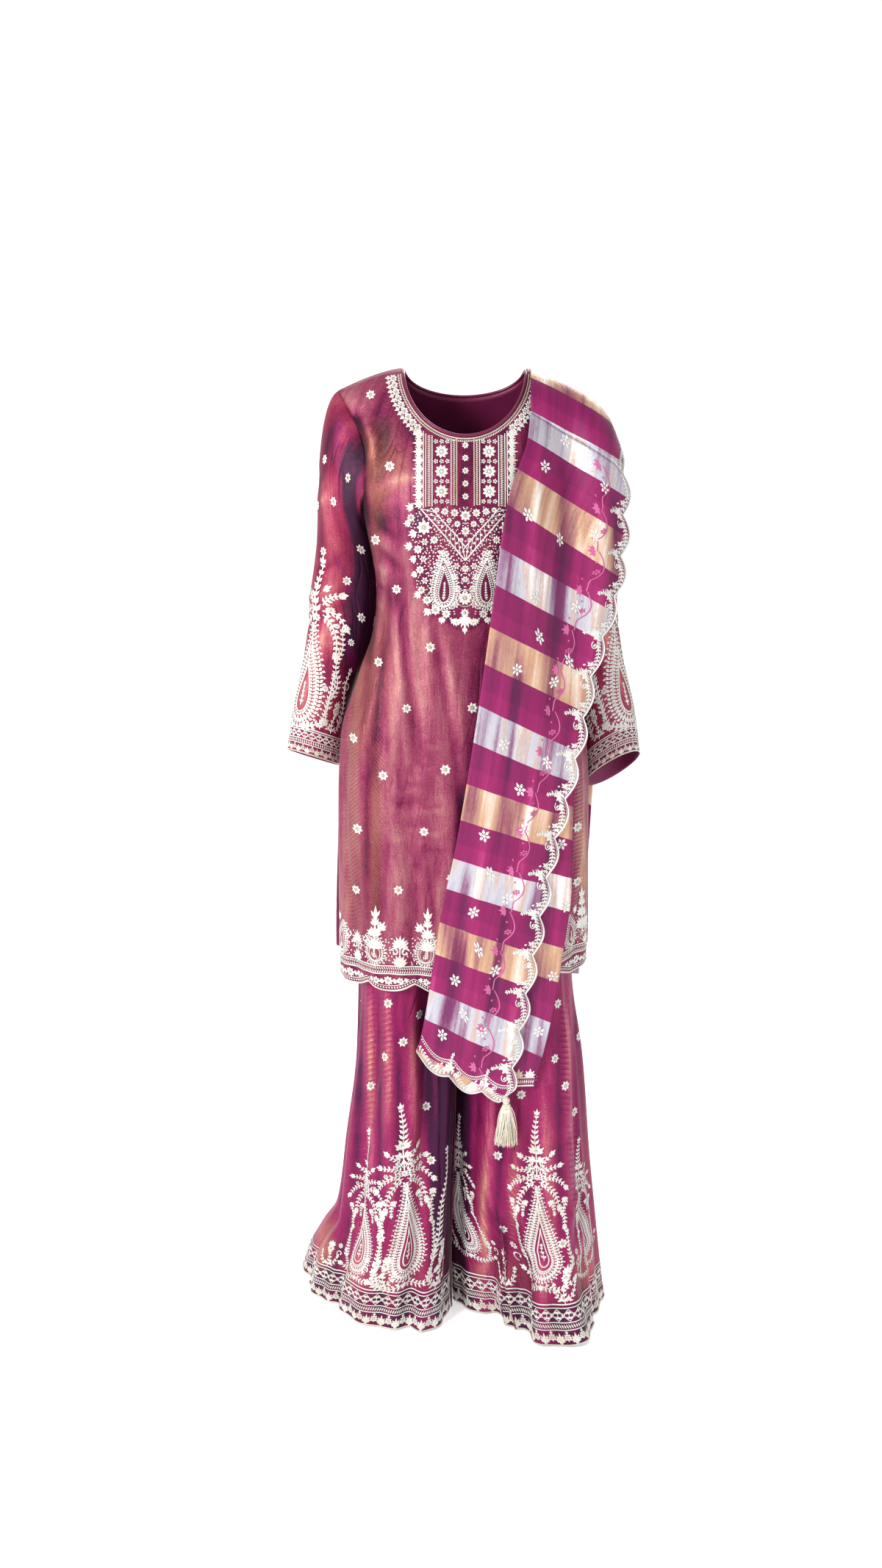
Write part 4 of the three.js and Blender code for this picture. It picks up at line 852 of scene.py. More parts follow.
# Paths in x and z. The pressed pleats of the sharara, then the softer falls between them. Under light, painted
# highlight above 0 and painted shade below 0, darkest in the recess between the legs; copper strokes paint copper
# sheen.
LEG_STROKES = {
    "right_front": """
crease
7 -3.4: -162 -900, -166 -1060, -172 -1230, -190 -1400
7 2.8: -150 -900, -150 -1060, -152 -1240, -160 -1420
6 -3: -138 -930, -136 -1080, -136 -1250, -140 -1400
8 3: -124 -900, -121 -1060, -118 -1230, -114 -1400, -112 -1480
6 -2.6: -107 -940, -104 -1080, -100 -1240, -96 -1360
10 2.6: -84 -960, -80 -1100, -76 -1240, -72 -1360
7 -4: -66 -960, -61 -1080, -56 -1200, -48 -1340, -44 -1460
7 2.6: -46 -980, -40 -1120, -34 -1260, -26 -1400
10 -4.2: -186 -1340, -200 -1420, -222 -1490
10 3.2: -170 -1360, -176 -1440, -182 -1510
9 3: -212 -1400, -240 -1450, -262 -1500
9 -2.6: -136 -1420, -134 -1480, -132 -1524
9 2.6: -66 -1430, -60 -1480, -58 -1524
10 -2: -96 -1440, -94 -1490, -92 -1524
5 1.6: -156 -1240, -140 -1262, -122 -1256
5 -1.5: -150 -1290, -134 -1306, -116 -1298
5 1.2: -104 -1120, -88 -1130, -72 -1124
10 -2.4: -120 -760, -122 -860, -124 -940
10 2.2: -70 -760, -72 -860, -72 -940
15 -14 0.3: -42 -940, -36 -1120, -32 -1320, -28 -1640
light
8 0.204: -150 -960, -150 -1100, -152 -1260
7 0.18: -122 -940, -120 -1060, -118 -1180
6 -0.18: -136 -960, -134 -1140, -136 -1300
7 -0.156: -104 -960, -100 -1160, -96 -1340
8 -0.24: -60 -960, -54 -1160, -44 -1400
20 -0.8: -28 -960, -22 -1200, -14 -1600
8 0.084: -82 -980, -78 -1140, -74 -1300
7 -0.204: -168 -960, -172 -1160, -182 -1330
8 0.18: -40 -1360, -36 -1430, -34 -1500
9 0.24: -160 -1380, -168 -1440, -176 -1490
8 0.18: -230 -1420, -250 -1462, -266 -1500
7 0.144: -124 -1400, -120 -1450, -118 -1500
8 -0.216: -206 -1420, -216 -1460, -228 -1500
8 -0.156: -74 -1440, -70 -1480, -66 -1510
rust
11 0.8: -218 -1410, -232 -1450, -246 -1490
8 0.7: -184 -1440, -190 -1470, -196 -1500
6 0.3: -152 -960, -151 -1100, -153 -1240
5 0.3: -121 -930, -119 -1060, -117 -1200
6 0.25: -82 -990, -77 -1140, -73 -1300
8 0.3: -176 -900, -184 -1080, -196 -1280
crimp
9: -148 -960, -149 -1080, -151 -1200
9: -121 -940, -120 -1050, -119 -1150
9: -158 -1230, -164 -1340, -172 -1420
""",
    "left_front": """
crease
7 -3.2: 178 -940, 184 -1100, 190 -1260, 198 -1400
7 2.8: 164 -940, 168 -1100, 172 -1260, 176 -1380
6 -2.8: 150 -960, 152 -1100, 156 -1260, 158 -1380
8 2.8: 128 -1120, 132 -1240, 140 -1360, 150 -1460
7 -2.6: 104 -1150, 104 -1260, 104 -1380
8 2.8: 84 -1170, 82 -1280, 80 -1400, 78 -1480
7 -3.6: 62 -1120, 58 -1240, 52 -1360, 46 -1470
7 3.2: 44 -1120, 38 -1260, 30 -1400, 24 -1500
6 -3.2: 24 -1100, 18 -1260, 12 -1400
9 3: 202 -1380, 208 -1450, 214 -1510
9 -2.8: 186 -1420, 192 -1470, 196 -1520
9 -2.4: 120 -1440, 116 -1490, 112 -1520
9 2.4: 60 -1440, 54 -1490, 50 -1524
5 1.3: 146 -1100, 132 -1110, 116 -1104
5 -1.4: 178 -1200, 164 -1214, 148 -1208
12 -2.4: 120 -760, 124 -880, 130 -1000
12 2.2: 70 -760, 72 -880, 72 -1000
27 -22 0.15: 72 -1340, 68 -1440, 60 -1680
16 -15 0.2: 104 -1390, 98 -1460, 92 -1640
12 8 0.6: 132 -1400, 128 -1470, 124 -1640
10 7: 40 -1360, 40 -1460, 36 -1640
6 2.6: 200 -1290, 184 -1318, 172 -1352
6 -2.8: 206 -1320, 190 -1350, 176 -1388
6 2.4: 206 -1352, 194 -1384, 184 -1420
light
8 0.144: 168 -980, 172 -1120, 176 -1300
9 0.18: 132 -1140, 138 -1260, 146 -1400
6 -0.144: 152 -980, 154 -1140, 158 -1320
9 0.18: 84 -1180, 82 -1300, 80 -1420
7 -0.204: 64 -1120, 62 -1240, 58 -1360
11 0.252: 44 -1120, 38 -1260, 34 -1460
9 -0.6: 10 -1060, 4 -1300, 0 -1600
11 -0.9: -3 -960, -12 -1200, -20 -1640
6 -0.12: 104 -1200, 104 -1320, 104 -1430
8 0.204: 206 -1400, 210 -1450, 216 -1500
7 0.18: 64 -1440, 58 -1480, 54 -1514
8 -0.144: 120 -1440, 124 -1480, 128 -1510
7 -0.204: 190 -1400, 194 -1460, 198 -1500
7 -0.18: 192 -1040, 200 -1200, 208 -1360
rust
8 0.6: 20 -1446, 28 -1474, 36 -1504
9 0.4: 186 -1400, 192 -1440, 198 -1490
6 0.35: 134 -1140, 140 -1260, 148 -1400
6 0.3: 84 -1200, 82 -1300, 80 -1400
7 0.35: 196 -1040, 204 -1180, 212 -1340
crimp
9: 176 -1180, 182 -1280, 190 -1380
8: 160 -980, 163 -1080, 166 -1170
8: 80 -1260, 78 -1360, 76 -1440
""",
    "right_back": """
crease
10 3: -154 -560, -160 -760, -164 -980, -172 -1240
9 -3.4: -132 -520, -134 -760, -134 -980, -140 -1280
10 3: -96 -600, -94 -820, -92 -1040, -92 -1300
9 -3: -58 -640, -54 -840, -50 -1040, -44 -1320
8 2.6: -30 -700, -26 -900, -22 -1100, -14 -1360
11 -3.6: -200 -1330, -222 -1430, -244 -1510
11 3.2: -160 -1360, -168 -1440, -176 -1520
11 -3: -112 -1380, -116 -1450, -118 -1520
11 2.8: -64 -1380, -62 -1450, -60 -1520
5 1.4: -110 -900, -88 -914, -66 -906
5 -1.4: -150 -1100, -128 -1116, -104 -1106
light
10 0.156: -154 -600, -160 -860, -166 -1200
10 0.144: -94 -640, -92 -900, -92 -1260
9 -0.156: -132 -600, -134 -900, -138 -1260
9 -0.156: -54 -660, -50 -900, -44 -1300
rust
8 0.4: -156 -700, -162 -960, -172 -1300
7 0.3: -94 -760, -92 -1000, -94 -1320
crimp
10: -150 -900, -154 -1060, -160 -1240
9: -92 -980, -92 -1120, -92 -1260
""",
    "left_back": """
crease
10 3: 154 -560, 160 -780, 166 -1000, 178 -1260
9 -3.2: 128 -540, 132 -760, 134 -1000, 138 -1300
10 3: 92 -620, 92 -820, 94 -1060, 96 -1320
9 -3.2: 56 -620, 52 -840, 48 -1060, 40 -1300
8 2.6: 26 -720, 22 -900, 20 -1120, 12 -1340
11 -3.2: 196 -1340, 206 -1430, 214 -1510
11 3: 156 -1380, 162 -1450, 166 -1520
11 -3: 110 -1360, 112 -1440, 112 -1520
11 2.8: 62 -1390, 60 -1460, 58 -1522
5 1.4: 140 -1000, 116 -1012, 92 -1004
light
10 0.156: 156 -600, 162 -860, 172 -1200
10 0.144: 92 -640, 92 -900, 96 -1300
9 -0.156: 130 -600, 134 -900, 138 -1280
9 -0.156: 54 -660, 50 -900, 42 -1300
rust
8 0.4: 156 -700, 164 -960, 176 -1300
7 0.3: 92 -760, 92 -1000, 96 -1320
crimp
10: 150 -940, 154 -1080, 160 -1240
9: 90 -960, 92 -1100, 94 -1240
""",
}
for which, cloth in legs.items():
    rows = strokes(LEG_STROKES[which])
    cloth.fold(rows)
    # the hem stands on the floor and never dips below it
    sunk = np.maximum(0, SHARARA_HEM - cloth.P[-1, :, 2])
    cloth.P[..., 2] += sunk[None] * ease((-1430 - cloth.P[..., 2]) / 90)
    cloth.tint(rows)

# The gathers that the waistband draws into the cloth below it: their height, spacing and reach down.
GATHER_HIGH, GATHER_PITCH, GATHER_REACH = 1.8, 3.1, 55
for cloth in legs.values():
    down = LEG_TOP - cloth.P[..., 2]
    below = np.exp(-np.clip(down, 0, None) / GATHER_REACH) * ease(down / 6)
    cloth.push(GATHER_HIGH * np.sin(cloth.A / GATHER_PITCH + 1.3 * np.sin(cloth.A / 17)) * below)


BAND_ROWS = 13


def band_rings():
    angle = np.linspace(0, 2 * np.pi, 169)
    rows = []
    for z in np.linspace(BAND_TOP, BAND_BOTTOM, BAND_ROWS):
        s = HIPS(z)
        x = s["half"] * bend(np.cos(angle), 2 / SECTION_POWER)
        deep = np.where(np.sin(angle) > 0, s["back"], s["front"])
        rows.append(np.stack([x, deep * bend(np.sin(angle), 2 / SECTION_POWER), np.full_like(x, z)], 1))
    return np.array(rows)


waistband = Cloth("waistband_cloth", band_rings(), 2.6, wrap=True)
waistband.show(6, 0, [1, 0, 0])
waistband.lay_out()
waistband.push(0.7 * np.sin(waistband.A / 2.3) * np.sin(np.pi * np.linspace(0, 1, BAND_ROWS))[:, None] ** 2)


# Between dense stitches the cloth is darkened with painted shade, on the sharara, the cuffs, the kameez's hem and
# under its yoke, and over the sharara's border copper is painted on as sheen.
for cloth in legs.values():
    cloth.tone -= 0.34 * ease((70 - cloth.B) / 10)
    cloth.rust += 0.42 * np.exp(-(((cloth.B - 92) / 34) ** 2)) * (0.6 + 0.4 * np.sin(cloth.A / 31))
for cloth in sleeves.values():
    cloth.tone -= 0.2 * ease((48 - cloth.B) / 8)
for cloth in (kameez_front, kameez_back):
    cloth.lay_out()
    cloth.tone -= 0.16 * ease((50 - cloth.B) / 10)
# painted shade on the cloth under the yoke's embroidery
x, z = np.abs(kameez_front.P[..., 0]), kameez_front.P[..., 2]
yoke_half = np.interp(-z, [0, 100, 215, 240, 330, 370, 395], [0, 76, 80, 92, 78, 46, 8])
kameez_front.tone -= 0.24 * ease((yoke_half - x) / 10) * ease((396 + z) / 10)


# ---------- dupatta ----------
PLAIN_EDGE = table("z x", """
-60 98; -109 92; -141 82; -169 71; -211 60; -267 51; -324 44; -418 32; -535 16; -643 -1; -729 -16
-828 -37; -904 -48; -994 -62; -1062 -76
""")
SCALLOP_EDGE = table("z x", """
-140 252; -200 255; -249 255; -306 251; -372 234; -412 222; -459 208; -553 190; -640 170; -760 142
-828 131; -942 111; -1085 88; -1138 80
""")
UNDER = table("z inX outX", """
-150 150 206; -400 112 184; -560 92 172; -700 82 168; -780 76 168; -918 60 152; -1033 46 131
-1112 38 112
""")
CREST = table("s x y z", """
0 100 0 -0.6; 0.2 128 0 -8.5; 0.4 158 0 -22.5; 0.6 188 0 -38.6; 0.8 217 0 -68.4; 1 246 0 -128
""")
BACK_FALL = table("z inX outX", """
-60 98 246; -300 92 240; -620 84 222; -1010 78 206
""")
FALL_SCALLOPS, EDGE_SCALLOP_DEEP, FOOT_SAG = 16, 12, 18
DRAPE_STEEP = table("z slope", """
-60 1; -300 0.75; -600 0.35; -1150 0.2
""")
# the grid on which the dupatta's depth is worked out: its corner and its steps, in z and x
FIELD_TOP, FIELD_INNER, TALL, WIDE = -60.0, -120.0, 10, 5
LEVELS = FIELD_TOP - TALL * np.arange(115)
PLACES = FIELD_INNER + WIDE * np.arange(81)


def support(x, z, side):
    """How far out the body, the kameez and the left arm stand at z, for the dupatta to lie on."""
    deep = body_depth(x, z, side) + 7 * ease((-300 - z) / 300)  # the kameez's folds stand out below the bust
    if z < KAMEEZ_HEM:  # it hangs on as it left the hem
        deep = np.where(np.abs(x) < SHOULDER_HALF, 122, 0)
    if z > FIELD_TOP or z < CUFF["left"]:
        return deep
    if z > SLEEVE_RING:  # the sleeve's cap, about as a cylinder
        off = (x - 192) / 50
        arm = 66 if side < 0 else 76
    else:
        s = SLEEVES["left"](z)
        off = (x - s["midX"]) / s["halfX"]
        arm = side * s["midY"] + s["halfY"]
    over = np.where(np.abs(off) < 1, arm * np.sqrt(np.clip(1 - off * off, 0, 1)), -1e9)
    return np.maximum(deep, over)


def drape_field(side):
    """The dupatta's depth over the grid: no nearer than what it lies on, and no steeper than cloth hangs."""
    above = np.zeros(len(PLACES))
    out = []
    apart = np.abs(PLACES[:, None] - PLACES[None])
    for z in LEVELS:
        rest = np.maximum(support(PLACES, z, side), above - TALL * 0.03)
        above = (rest[None] - DRAPE_STEEP(z)["slope"] * apart).max(1)
        out.append(above)
    field = np.array(out)
    for axis, times in ((0, 8), (1, 10)):  # cloth turns softly over what it lies on
        for _ in range(times):
            p = np.pad(np.swapaxes(field, 0, axis), [(1, 1), (0, 0)], mode="edge")
            field = np.swapaxes((p[:-2] + 2 * p[1:-1] + p[2:]) / 4, 0, axis)
    return field


DRAPES = {-1: drape_field(-1), 1: drape_field(1)}


def drape_depth(x, z, side):
    r = np.clip((FIELD_TOP - z) / TALL, 0, len(LEVELS) - 1.001)
    c = np.clip((x - FIELD_INNER) / WIDE, 0, len(PLACES) - 1.001)
    i, j = r.astype(int), c.astype(int)
    f = DRAPES[side]
    top = mix(f[i, j], f[i, j + 1], c - j)
    low = mix(f[i + 1, j], f[i + 1, j + 1], c - j)
    return mix(top, low, r - i)


def scallop_bite(t, count):
    return 1 - np.abs(np.sin(np.pi * count * t))


def hanging(name, edges, top, foot, rows, columns, side, lift, scallops=0, deep=0, sag=0):
    """A fall of the dupatta between its edges, top and foot being the z where each edge starts and ends."""
    t = np.linspace(0, 1, rows + 1)[:, None]
    s = np.linspace(0, 1, columns + 1)[None]
    a, b = mix(top[0], foot[0], t), mix(top[1], foot[1], t)
    near = ease((s - 0.8) / 0.2)  # the scallops are cut into the edge, not drawn across the cloth
    plain, scallop = edges
    x = mix(plain(a), scallop(b), s) - deep * scallop_bite(t, scallops) * near
    # the foot has three scallops of its own, and sags between its corners
    cusp = deep * scallop_bite(s, 3) * ease((t - 0.97) / 0.03)
    z = mix(a, b, s) - sag * 4 * s * (1 - s) * t**4 + cusp
    depth = drape_depth(x, z, side) + lift
    cloth = Cloth(name, np.stack([x, side * depth, z], -1), ORGANZA_THICK)
    cloth.show(rows // 2, columns // 2, [0, side, 0])
    cloth.S, cloth.T = s + 0 * t, t + 0 * s
    cloth.lay_out(0)
    return cloth


def edge(read, key="x"):
    """An edge's x at each z."""
    return lambda z: read(z)[key]


fall = hanging(
    "front_fall_cloth", (edge(PLAIN_EDGE), edge(SCALLOP_EDGE)), (-70, -160), (-1060, -1137), 224, 60, -1, 9.5,
    FALL_SCALLOPS, EDGE_SCALLOP_DEEP, FOOT_SAG,
)
under_edges, rear_edges = ([edge(read, key) for key in ("inX", "outX")] for read in (UNDER, BACK_FALL))
under = hanging("under_layer_cloth", under_edges, (-150, -190), (-1112, -1112), 150, 30, -1, 3.2)
rear = hanging("back_fall_cloth", rear_edges, (-70, -160), (-1010, -1010), 150, 40, 1, 9.5)


def over_shoulder():
    """The dupatta from the head of the front fall over its crest to the head of the back fall."""
    shares = np.linspace(0, 1, 57)
    crest = CREST(shares)

    def ends(cloth):
        return np.stack([np.interp(shares, cloth.S[0], cloth.P[0, :, k]) for k in range(3)], 1)

    def row(end, share):
        angle = share * np.pi / 2
        x = mix(crest["x"], end[:, 0], np.sin(angle))
        y = mix(crest["y"], end[:, 1], np.sin(angle))
        return np.stack([x, y, mix(end[:, 2], crest["z"], np.cos(angle)) + (SEAM if share == 1 else 0)], 1)

    front, back = ends(fall), ends(rear)
    rows = [row(front, 1 - t) for t in np.linspace(0, 1, 23)]
    rows += [row(back, t) for t in np.linspace(0, 1, 23)[1:]]
    cloth = Cloth("shoulder_cloth", rows, ORGANZA_THICK)
    cloth.show(22, 28, [0, 0, 1])
    cloth.S = shares[None]
    cloth.lay_out(0)
    return cloth


crest = over_shoulder()
# creases of the front fall, deepened, with strong painted highlight and shade
fall.fold(strokes("""
crease
9 2.4: 112 -90, 104 -200, 96 -330, 84 -460
10 -2.6: 150 -110, 150 -230, 142 -360, 128 -500, 112 -640
12 2.8: 196 -140, 206 -230, 206 -320, 194 -430, 176 -540
9 -2.6: 222 -180, 236 -260, 230 -340
9 -2.2: 92 -300, 82 -440, 66 -600, 48 -760
10 2.6: 128 -420, 112 -560, 96 -700, 78 -860
8 -2.2: 160 -520, 146 -640, 130 -760, 112 -900
10 2.2: 46 -560, 32 -700, 14 -840, -4 -980
9 -2.6: 70 -760, 56 -880, 40 -1000, 30 -1080
8 2.4: 96 -840, 82 -960, 70 -1060, 64 -1100
10 -2.2: 10 -760, -8 -880, -26 -1000, -34 -1060
8 2: -40 -880, -50 -960, -58 -1040
8 2: 28 -880, 14 -980, 4 -1070
6 -1.6: 60 -140, 66 -220, 62 -300
7 1.6: 176 -200, 170 -320, 158 -430
5 -1.2: 120 -560, 110 -640, 98 -730
6 1.4: 66 -420, 58 -520, 50 -620
"""), deepen=1.25, shine=1.5)
rear.fold(strokes("""
crease
11 2.8: 110 -100, 108 -300, 104 -520, 100 -760
12 -3: 150 -120, 146 -320, 140 -560, 134 -820
12 3: 192 -150, 190 -340, 182 -560, 172 -800, 164 -980
9 -2.8: 222 -190, 220 -340, 210 -520, 200 -700
9 -2.2: 122 -560, 118 -760, 112 -980
9 2.4: 166 -620, 156 -800, 148 -990
"""))
under.fold(strokes("""
crease
8 1.6: 160 -560, 158 -720, 146 -880, 126 -1040
9 -1.8: 120 -620, 110 -800, 96 -980, 84 -1090
"""))

# The number of the woven stripe at each place of the front fall, counted from the shoulder: each whole number
# is the top of a metallic stripe.
STRIPE_TOPS = table("z n", """
-69 0; -154 1; -267 2; -383 3; -501 4; -620 5; -735 6; -836 7; -944 8; -1047 9; -1150 10
""")
STRIPE_SLOPE = table("z m", """
-60 0.5; -110 0.56; -154 0.58; -206 0.62; -267 0.56; -383 0.52; -501 0.5; -560 0.43; -620 0.36
-735 0.32; -836 0.36; -944 0.43; -1047 0.58; -1150 0.62
""")
STRIPE_PITCH, FIRST_STRIPE = 108.0, -69.0


def front_stripe(x, z):
    """Follows the slanting stripes back to the plain edge, where they are counted."""
    at = z.copy()
    for _ in range(12):
        m = STRIPE_SLOPE(at)["m"]
        at = mix(at, z + m * (x - PLAIN_EDGE(np.clip(at, -1062, -60))["x"]), 0.6)
    n = STRIPE_TOPS(np.clip(at, -1150, FIRST_STRIPE))["n"]
    return n - np.maximum(at - FIRST_STRIPE, 0) / STRIPE_PITCH  # evenly on above the first one


fall.stripe = front_stripe(fall.P[..., 0], fall.P[..., 2])
under.stripe = front_stripe(under.P[..., 0], under.P[..., 2]) + 0.16
first = np.interp(crest.S[0], fall.S[0], fall.stripe[0])
crest.stripe = first[None] - crest.D / STRIPE_PITCH
last = np.interp(rear.S[0], crest.S[0], crest.stripe[-1])
# down the back the stripes soon run nearly level
straightened = last.mean() + 0.3 * (np.polyval(np.polyfit(rear.S[0], last, 1), rear.S[0]) - last.mean())
rear.stripe = mix(last[None], straightened[None], ease(rear.D / 240)) - rear.D / STRIPE_PITCH


# ---------- materials ----------
DYE = 0.9  # how deep the dyes lie against the colours that the light gives back


def srgb(*parts):
    """A dye's colour from its red, green and blue of 255."""
    shares = [v / 255 for v in parts]
    return tuple(DYE * (v / 12.92 if v <= 0.04045 else ((v + 0.055) / 1.055) ** 2.4) for v in shares)


class Value:
    """What a node gives out. Sums and products of values make the nodes that work them out."""

    def __init__(self, graph, socket):
        self.graph, self.socket = graph, socket

    def __add__(self, other):
        return self.graph.math("ADD", self, other)

    def __mul__(self, other):
        return self.graph.math("MULTIPLY", self, other)

    def held(self):
        """The value kept between 0 and 1."""
        self.socket.node.use_clamp = True
        return self


class Graph:
    """A material's nodes, each made by a call that gives back its value."""

    def __init__(self, name):
        self.material = bpy.data.materials.new(name)
        self.material.use_nodes = True
        self.tree = self.material.node_tree
        self.tree.nodes.clear()
        self.shader = self.tree.nodes.new("ShaderNodeBsdfPrincipled")
        out = self.tree.nodes.new("ShaderNodeOutputMaterial")
        self.tree.links.new(self.shader.outputs[0], out.inputs[0])

    def _node(self, kind, *inputs):
        node = self.tree.nodes.new("ShaderNode" + kind)
        for socket, value in zip(node.inputs, inputs):
            self._put(socket, value)
        return node

    def _put(self, socket, value):
        if isinstance(value, Value):
            self.tree.links.new(value.socket, socket)
        elif isinstance(value, tuple) and len(value) == 3 and socket.type == "RGBA":
            socket.default_value = (*value, 1)
        else:
            socket.default_value = value

    def field(self, name):
        node = self._node("Attribute")
        node.attribute_name = name
        return Value(self, node.outputs["Fac"])

    def math(self, kind, a, b=0.0):
        node = self._node("Math", a, b)
        node.operation = kind
        return Value(self, node.outputs[0])

    def vector(self, x, y, z=0.0):
        return Value(self, self._node("CombineXYZ", x, y, z).outputs[0])

    def place(self):
        return Value(self, self._node("TexCoord").outputs["Object"])

    def noise(self, vector, scale, detail, rough, swing):
        """Noise about 0, swing being how far it goes either way."""
        node = self._node("TexNoise")
        self._put(node.inputs["Vector"], vector)
        node.inputs["Scale"].default_value = scale
        node.inputs["Detail"].default_value = detail
        node.inputs["Roughness"].default_value = rough
        return self.math("SUBTRACT", Value(self, node.outputs["Fac"]), 0.5) * (2.0 * swing)

    def stretch(self, along_x, along_y):
        """The cloth's own coordinates, drawn out by the two scales."""
        return self.vector(self.field("across") * along_x, self.field("down") * along_y)

    def ramp(self, factor, stops):
        """Colours along a factor, from a text with a place, red, green and blue for each."""
        node = self._node("ValToRGB", factor)
        stops, elements = grid(stops), node.color_ramp.elements
        while len(elements) < len(stops):
            elements.new(0.5)
        for element, (at, *colour) in zip(elements, stops):
            element.position, element.color = at, (*srgb(*colour), 1)
        return Value(self, node.outputs[0])

    def blend(self, factor, a, b):
        node = self._node("Mix", factor)
        node.data_type = "RGBA"
        self._put(node.inputs[6], a)
        self._put(node.inputs[7], b)
        return Value(self, node.outputs[2])

    def bump(self, height, strength, distance):
        node = self._node("Bump")
        node.inputs["Strength"].default_value = strength
        node.inputs["Distance"].default_value = distance
        self._put(node.inputs["Height"], height)
        return Value(self, node.outputs[0])

    def finish(self, colour, normal=None, **constants):
        """The material, with what is given for its shader."""
        self._put(self.shader.inputs["Base Color"], colour)
        if normal is not None:
            self._put(self.shader.inputs["Normal"], normal)
        for name, value in constants.items():
            self._put(self.shader.inputs[name.replace("_", " ")], value)
        return self.material


def shot_silk(name, stops, crimp_pitch, crush, middle=0.5, shade_pools=0.0):
    """Silk woven in two colours: its stops run from painted shade in a fold to a painted highlight where the
    light catches gold.
    """
    g = Graph(name)
    tone, across, down = g.field("tone"), g.field("across"), g.field("down")
    weft, warp = g.noise(g.stretch(60, 900), 1.0, 2, 0.6, 0.13), g.noise(g.stretch(800, 30), 1.0, 2, 0.6, 0.17)
    grain = weft + warp + g.noise(g.place(), 640, 2, 0.7, 0.34)
    cloud, drift = g.noise(g.place(), 17, 4, 0.6, 0.2), g.noise(g.stretch(38, 5), 1.0, 3, 0.6, 0.36)
    # crimps: thin ribs lying a little aslant, painted bright along their crests and darker between them, and
    # bumped
    wobble = g.noise(g.place(), 26, 2, 0.5, 2.4)
    wave = g.math("SINE", (down + across * 0.3) * (2 * math.pi / crimp_pitch) + wobble)
    rib = (wave * 2.0 + -0.7).held() + -0.3
    crimp = g.field("crimp") * rib * 0.34
    # fine creases where the noise crosses its middle, down the cloth and aslant, darkened with painted shade and
    # bumped
    lie = g.vector(across * 44 + down * 6.0, down * 9)
    off = g.math("ABSOLUTE", g.noise(lie, 1.0, 1, 0.5, 1.0) * 3.0)
    here = (g.noise(g.place(), 9, 1, 0.5, 2.2) + 0.35).held()
    lines = g.math("POWER", g.math("SUBTRACT", 1.0, off).held(), 3.0) * here
    colour = g.ramp(tone + middle + grain + cloud + drift + crimp + lines * -0.15, stops)
    if shade_pools:  # patches of painted shade in dark purple, placed by noise
        edge = g.noise(g.stretch(15, 13), 1.0, 3, 0.55, 1.0)
        shade_pool = (g.math("SUBTRACT", edge, 0.16) * 7.0 + grain * 0.5).held()
        colour = g.blend(shade_pool * shade_pools, colour, srgb(112, 8, 84))
    # the weft's copper, painted on as sheen, darker under painted shade and lighter under painted highlight
    copper = g.blend((grain * 1.6 + tone * 0.9 + 0.5).held(), srgb(112, 58, 42), srgb(184, 130, 96))
    rust = (g.field("rust") * (grain + drift + 0.75).held() * 0.9).held()
    colour = g.blend(rust, colour, copper)
    slub = g.noise(g.stretch(130, 1400), 1.0, 2, 0.6, 0.5) + g.noise(g.stretch(1400, 90), 1.0, 2, 0.6, 0.4)
    crumple = g.noise(g.place(), 46, 4, 0.62, 1.0) * crush
    height = slub * 0.16 + crumple + (g.field("crimp") * wave * 1.1 + lines * -0.8)
    return g.finish(
        colour,
        g.bump(height, 0.7, 0.0016),
        Metallic=0.34,
        Roughness=0.5,
        Sheen_Weight=0.14,
        Sheen_Roughness=0.4,
        Sheen_Tint=(1.0, 0.78, 0.72, 1.0),
        Specular_IOR_Level=0.4,
    )


kameez_stops = "0 56 12 48; .24 120 24 72; .48 147 66 94; .72 168 112 114; .9 188 142 124; 1 210 172 148"
leg_stops = "0 70 14 62; .3 134 18 84; .56 150 38 94; .76 176 82 112; .92 192 122 116; 1 214 172 140"
sleeve_stops = "0 56 8 48; .3 132 24 70; .54 154 58 84; .8 182 104 112; 1 214 172 140"
kameez_silk = shot_silk("kameez_silk", kameez_stops, 0.0064, 0.8)
leg_silk = shot_silk("sharara_silk", leg_stops, 0.0094, 0.5, 0.46)
sleeve_silk = shot_silk("sleeve_silk", sleeve_stops, 0.0064, 0.5, 0.56, 0.62)


def plain_cloth(name, colour, other, swing=0.5, rough=0.5, metallic=0.15):
    """Cloth of two close colours."""
    g = Graph(name)
    weave = g.noise(g.place(), 620, 2, 0.6, swing) + g.noise(g.place(), 30, 3, 0.6, swing * 0.6)
    mixed = g.blend((weave + 0.5).held(), colour, other)
    return g.finish(mixed, g.bump(weave, 0.35, 0.0006), Metallic=metallic, Roughness=rough, Sheen_Weight=0.2)


lining = plain_cloth("silk_inside", srgb(112, 18, 74), srgb(134, 34, 86))
piping_satin = plain_cloth("piping_satin", srgb(128, 16, 74), srgb(104, 12, 62), 0.4, 0.32, 0.1)
band_cloth = plain_cloth("band_silk", srgb(118, 22, 78), srgb(142, 44, 92), 0.5, 0.45)


